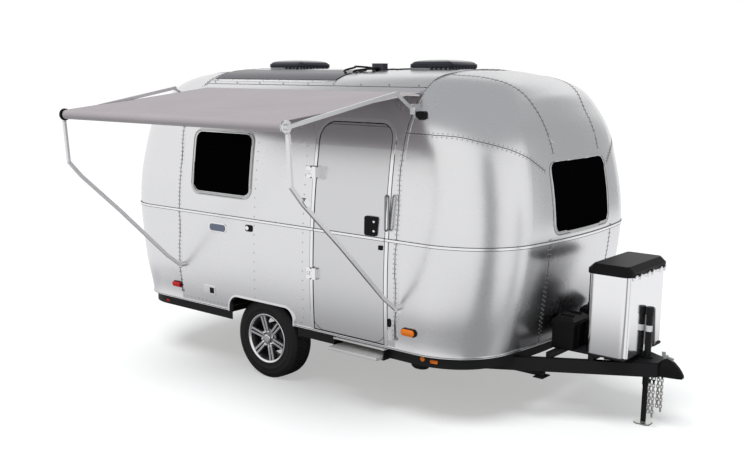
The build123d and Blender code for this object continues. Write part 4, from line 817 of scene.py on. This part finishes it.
bolt_rows = [spaced([(-3.90, -0.820, 2.06), (-2.59, -0.820, 2.06)], 0.19)]
bolt_rows += mirrored([spaced([(-3.9, -0.855, 2.045), (-1.7, -0.855, 2.045)], 0.275)])
places, normals = laid(np.concatenate(bolt_rows), ROOF)
rivets("roof_bolts", places + 0.004 * normals, normals, dark_metal, 0.006, 0.004)
roof_edges = mirrored([spaced([(-3.98, -0.872, 2.03), (-1.60, -0.872, 2.03)], 0.1)])
ribbons("roof_edge_seams", roof_edges, 0.007, 0.0010, seam_dark, ROOF)
run = np.linspace(0, 1, 40)[:, None]
leads = []
for swing, lift, end in ((0.10, 0.020, -0.56), (-0.06, 0.035, -0.66), (0.05, 0.012, -0.48)):
    lead_x = -2.49 - 0.09 * run + swing * np.sin(np.pi * run) + 0.03 * np.sin(4 * np.pi * run)
    lead = np.hstack([lead_x, -0.36 + (end + 0.36) * run, 2.3 + 0 * run])
    places, normals = laid(lead, ROOF, reach=0.5)
    leads.append(tube(places + (0.008 + lift * np.sin(np.pi * run)) * normals, 0.008, (0, 0, 1)))
lead_y = -0.30 + 0.11 * run + 0.03 * np.sin(3 * np.pi * run)
places, normals = laid(np.hstack([-2.425 + 0.19 * run, lead_y, 2.3 + 0 * run]), ROOF, reach=0.5)
leads.append(tube(places + 0.005 * normals, 0.005, (0, 0, 1)))
assembled("roof_leads", leads, moulded_black, smooth=True, slot="black_plastic")

# Grab handle and battery boxes. A dark plated loop beside the door; two moulded boxes with chamfered
# lids and two straps each, set down on the tray behind the gas cover.
loop = rounded(0.040, 0.258, 0.020, 12)
loop_path = np.column_stack([np.full(len(loop), -1.680), -1.2440 + loop[:, 0], 1.131 + loop[:, 1]])
handle = tube(loop_path, 0.0075, (1, 0, 0), closed=True)
piece = assembled("grab_loop", [handle], dark_metal, smooth=True, slot="trim")
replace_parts(piece, "grab_handle")
BOX_X, BOX_Y, BOX_SIZE = -0.701, 0.226, (0.190, 0.284)
BOX = [(0.012, 0.1182), (0.010, 0.122), (0.006, 0.292), (0.0, 0.294), (0.0, 0.312), (0.004, 0.314),
       (0.004, 0.328), (0.034, 0.352), (0.042, 0.354)]
STRAP_HALF, STRAP_FOOT, STRAP_HEAD = 0.06, 0.088, 0.0945
battery_bits = []
for side in (-1, 1):
    battery_bits.append(stacked((BOX_X, side * BOX_Y), BOX_SIZE, 0.022, BOX))
    for y in (side * BOX_Y - STRAP_HALF, side * BOX_Y + STRAP_HALF):
        for end in (-1, 1):
            foot, head = BOX_X + end * STRAP_FOOT, BOX_X + end * STRAP_HEAD
            battery_bits.append(bar_of((foot, y, 0.125), (head, y, 0.316), 0.020, 0.006))
        battery_bits.append(bar_of((BOX_X - 0.055, y, 0.356), (BOX_X + 0.055, y, 0.356), 0.024, 0.008))
piece = assembled("battery_cases", battery_bits, moulded_black, slot="black_plastic")
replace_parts(piece, "battery_boxes")


# Coupler and jack crank. The coupler is a pressed steel shell with a rounded nose, open below over
# the ball, and carries a cast latch lever; the crank is a plated arm with a plastic grip.
def coupler_shell(stations, low, wall, points_over=15):
    """Arch-shaped section at each X: outside from side to side over the top, then back inside."""
    t = np.linspace(math.pi, 0, points_over)
    arch_y, arch_z = np.sign(np.cos(t)) * np.abs(np.cos(t)) ** 0.5, np.sin(t) ** 0.55
    rings = []
    for x, half, top in stations:
        outer = np.stack([half * arch_y, low + (top - low) * arch_z], axis=1)
        inner = np.stack([(half - wall) * arch_y, low + (top - wall - low) * arch_z], axis=1)[::-1]
        section = np.concatenate([outer, inner])
        rings.append(np.column_stack([np.full(len(section), x), section]))
    count = len(rings[0])
    faces = [tuple(f) for f in grid_faces(len(rings), count, close_columns=True)]
    for start, order in ((0, 1), ((len(rings) - 1) * count, -1)):
        for i in range(points_over - 1):
            quad = (i, i + 1, count - 2 - i, count - 1 - i)
            faces.append(tuple(start + k for k in quad[::order]))
    return np.concatenate(rings), faces


COUPLER = [(-0.075, 0.062, 0.080), (-0.045, 0.056, 0.094), (-0.015, 0.048, 0.088), (0.015, 0.043, 0.067),
           (0.043, 0.035, 0.042), (0.066, 0.027, 0.016), (0.083, 0.017, -0.010)]
back_plate = bar_of((-0.075, -0.060, 0.050), (-0.075, 0.060, 0.050), 0.004, 0.050)
shell = coupler_shell(COUPLER, -0.037, 0.006)
piece = assembled("coupler_body", [shell, back_plate], moulded_black, slot="chassis")
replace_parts(piece, "coupler")
cast_grey = finish("cast_grey", (0.45, 0.45, 0.45), 0.4, metal=0.8)
lever = bar_of((-0.066, 0, 0.100), (0.004, 0, 0.090), 0.024, 0.012)
lever_pin = drum_of((-0.050, -0.018, 0.104), (-0.050, 0.018, 0.104), 0.012)
lever_grip = bar_of((-0.066, 0, 0.100), (-0.070, 0, 0.138), 0.026, 0.010)
assembled("coupler_latch", [lever, lever_pin, lever_grip], cast_grey, slot="chassis")
CRANK_X = -0.19
crank_shaft = drum_of((CRANK_X, 0.0425, 0.424), (CRANK_X, 0.070, 0.424), 0.009)
crank_bar = bar_of((CRANK_X, 0.066, 0.434), (CRANK_X, 0.104, 0.138), 0.022, 0.010)
piece = assembled("crank_arm", [crank_shaft, crank_bar], cast_grey, slot="chassis")
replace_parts(piece, "jack_crank")
grip = drum_of((CRANK_X, 0.100, 0.146), (CRANK_X, 0.205, 0.146), 0.013)
assembled("crank_grip", [grip], moulded_black, slot="black_plastic")

# Dish under the skirt. A moulded black bowl that hangs under the front corner of the skirt, below
# the two small lamps.
DISH = [(0.045, -0.022), (0.020, -0.014), (0.003, 0.004), (0.0, 0.026)]
dish = stacked((-1.448, -1.10), (0.150, 0.130), 0.064, DISH)
assembled("skirt_dish", [dish], moulded_black, smooth=True, slot="black_plastic")

# Awning cloth. Woven acrylic in a warm grey, stretched from the wall rail over the roller and
# wound on it; it sags a little and is creased along the roller where it has been rolled.
CLOTH_REAR, CLOTH_FRONT, CLOTH_THICK = -3.916, -1.614, 0.0012
RAIL_AT, ROLL_RADIUS = (-0.9375, 1.9905), 0.0335
FALL = math.atan2(RAIL_AT[1] - ROLLER_AT[1], RAIL_AT[0] - ROLLER_AT[0])
CLEAR, WRAP, SAG, EDGE_SAG, FOLD, CREASE, RIPPLE = 0.002, 4.6, 0.020, 0.004, 0.0040, 0.0050, 0.0022


def awning_sheet():
    """Straight run from rail to roller with a shallow sag and slanted ripples, then round the roll."""
    u = np.linspace(0, 1, 150)[:, None]
    run = np.linspace(0, 1, 90)[None, :]
    start = np.array([RAIL_AT[0], RAIL_AT[1] + CLEAR])
    over_y, over_z = -ROLL_RADIUS * math.sin(FALL), ROLL_RADIUS * math.cos(FALL)
    end = np.array([ROLLER_AT[0] + over_y, ROLLER_AT[1] + over_z + CLEAR])
    y = start[0] + (end[0] - start[0]) * run + 0 * u
    z = start[1] + (end[1] - start[1]) * run + 0 * u
    dip = np.sin(np.pi * run) * (SAG * np.sin(np.pi * u) ** 0.5 + EDGE_SAG)
    fold = FOLD * np.sin(2 * np.pi * (2.2 * u + 1.4 * run) + 1.0) * np.sin(np.pi * run)
    crease = CREASE * np.exp(-((run - 0.62 - 0.14 * u) / 0.05) ** 2)
    crease = crease * smooth_step(u, 0.0, 0.3) * (1 - smooth_step(u, 0.75, 1.0))
    ripple = RIPPLE * np.sin(2 * np.pi * (17 * u + 1.5 * run + 0.6 * np.sin(9 * u)))
    ripple = ripple * smooth_step(run, 0.55, 0.97) * (1 - 0.6 * u)
    z = z - dip + fold * np.minimum(1, 8 * u * (1 - u)) + crease + ripple
    first = FALL + math.pi / 2
    angle = np.linspace(first, first + WRAP, 40)[None, 1:]
    around = ROLL_RADIUS + 0.0012 - 0.0002 * (angle - first)
    ys = np.concatenate([y, ROLLER_AT[0] + around * np.cos(angle) + 0 * u], axis=1)
    zs = np.concatenate([z, ROLLER_AT[1] + around * np.sin(angle) + 0 * u], axis=1)
    return np.stack([CLOTH_REAR + (CLOTH_FRONT - CLOTH_REAR) * u + 0 * ys, ys, zs], axis=2)


def awning_roll():
    """Wound cloth under the last turn: radius grows and shrinks in fine cross creases, more at the rear."""
    u = np.linspace(0, 1, 260)[:, None]
    angle = np.linspace(0, 2 * np.pi, 40, endpoint=False)[None, :]
    crease = np.sin(2 * np.pi * (46 * u + 0.7 * np.sin(7 * u))) * (0.5 + 0.5 * np.sin(angle * 2 + 11 * u))
    radius = ROLL_RADIUS - 0.0010 + 0.0007 * crease * (1 - 0.6 * u)
    x = CLOTH_REAR - 0.004 + (CLOTH_FRONT - CLOTH_REAR + 0.008) * u + 0 * angle
    return np.stack([x, ROLLER_AT[0] + radius * np.cos(angle), ROLLER_AT[1] + radius * np.sin(angle)], axis=2)


def woven(name, colour):
    """Cloth: soft unevenness as bump, a faint cloudy tone and a little sheen, on Object coordinates."""
    made = finish(name, colour, 0.85, bump=0.0005, bump_scale=9.0)
    tree = made.node_tree
    shader = tree.nodes["Principled BSDF"]
    place = wired(tree, "TexCoord")
    cloud = wired(tree, "TexNoise", {"Vector": place.outputs["Object"], "Scale": 2.2})
    darker, lighter = (*(c * 0.92 for c in colour), 1), (*(c * 1.08 for c in colour), 1)
    tone = wired(tree, "MixRGB", {"Fac": cloud.outputs["Fac"], "Color1": darker, "Color2": lighter})
    tree.links.new(tone.outputs["Color"], shader.inputs["Base Color"])
    shader.inputs["Sheen Weight"].default_value = 0.15
    return made


awning_cloth = woven("awning_cloth", (0.44, 0.405, 0.42))
sheet_grid = awning_sheet()
cloth_faces = grid_faces(*sheet_grid.shape[:2])
cloth = mesh_piece("awning_cloth", sheet_grid, cloth_faces, awning_cloth, slot="awning_cloth")
thickness = cloth.modifiers.new("thickness", "SOLIDIFY")
thickness.thickness = CLOTH_THICK
thickness.offset = 0
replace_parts(cloth, "awning_fabric")
roll_grid = awning_roll()
roll = mesh_piece("awning_roll", roll_grid, capped(*roll_grid.shape[:2]), awning_cloth, slot="awning_cloth")
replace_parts(roll, "awning_roller")
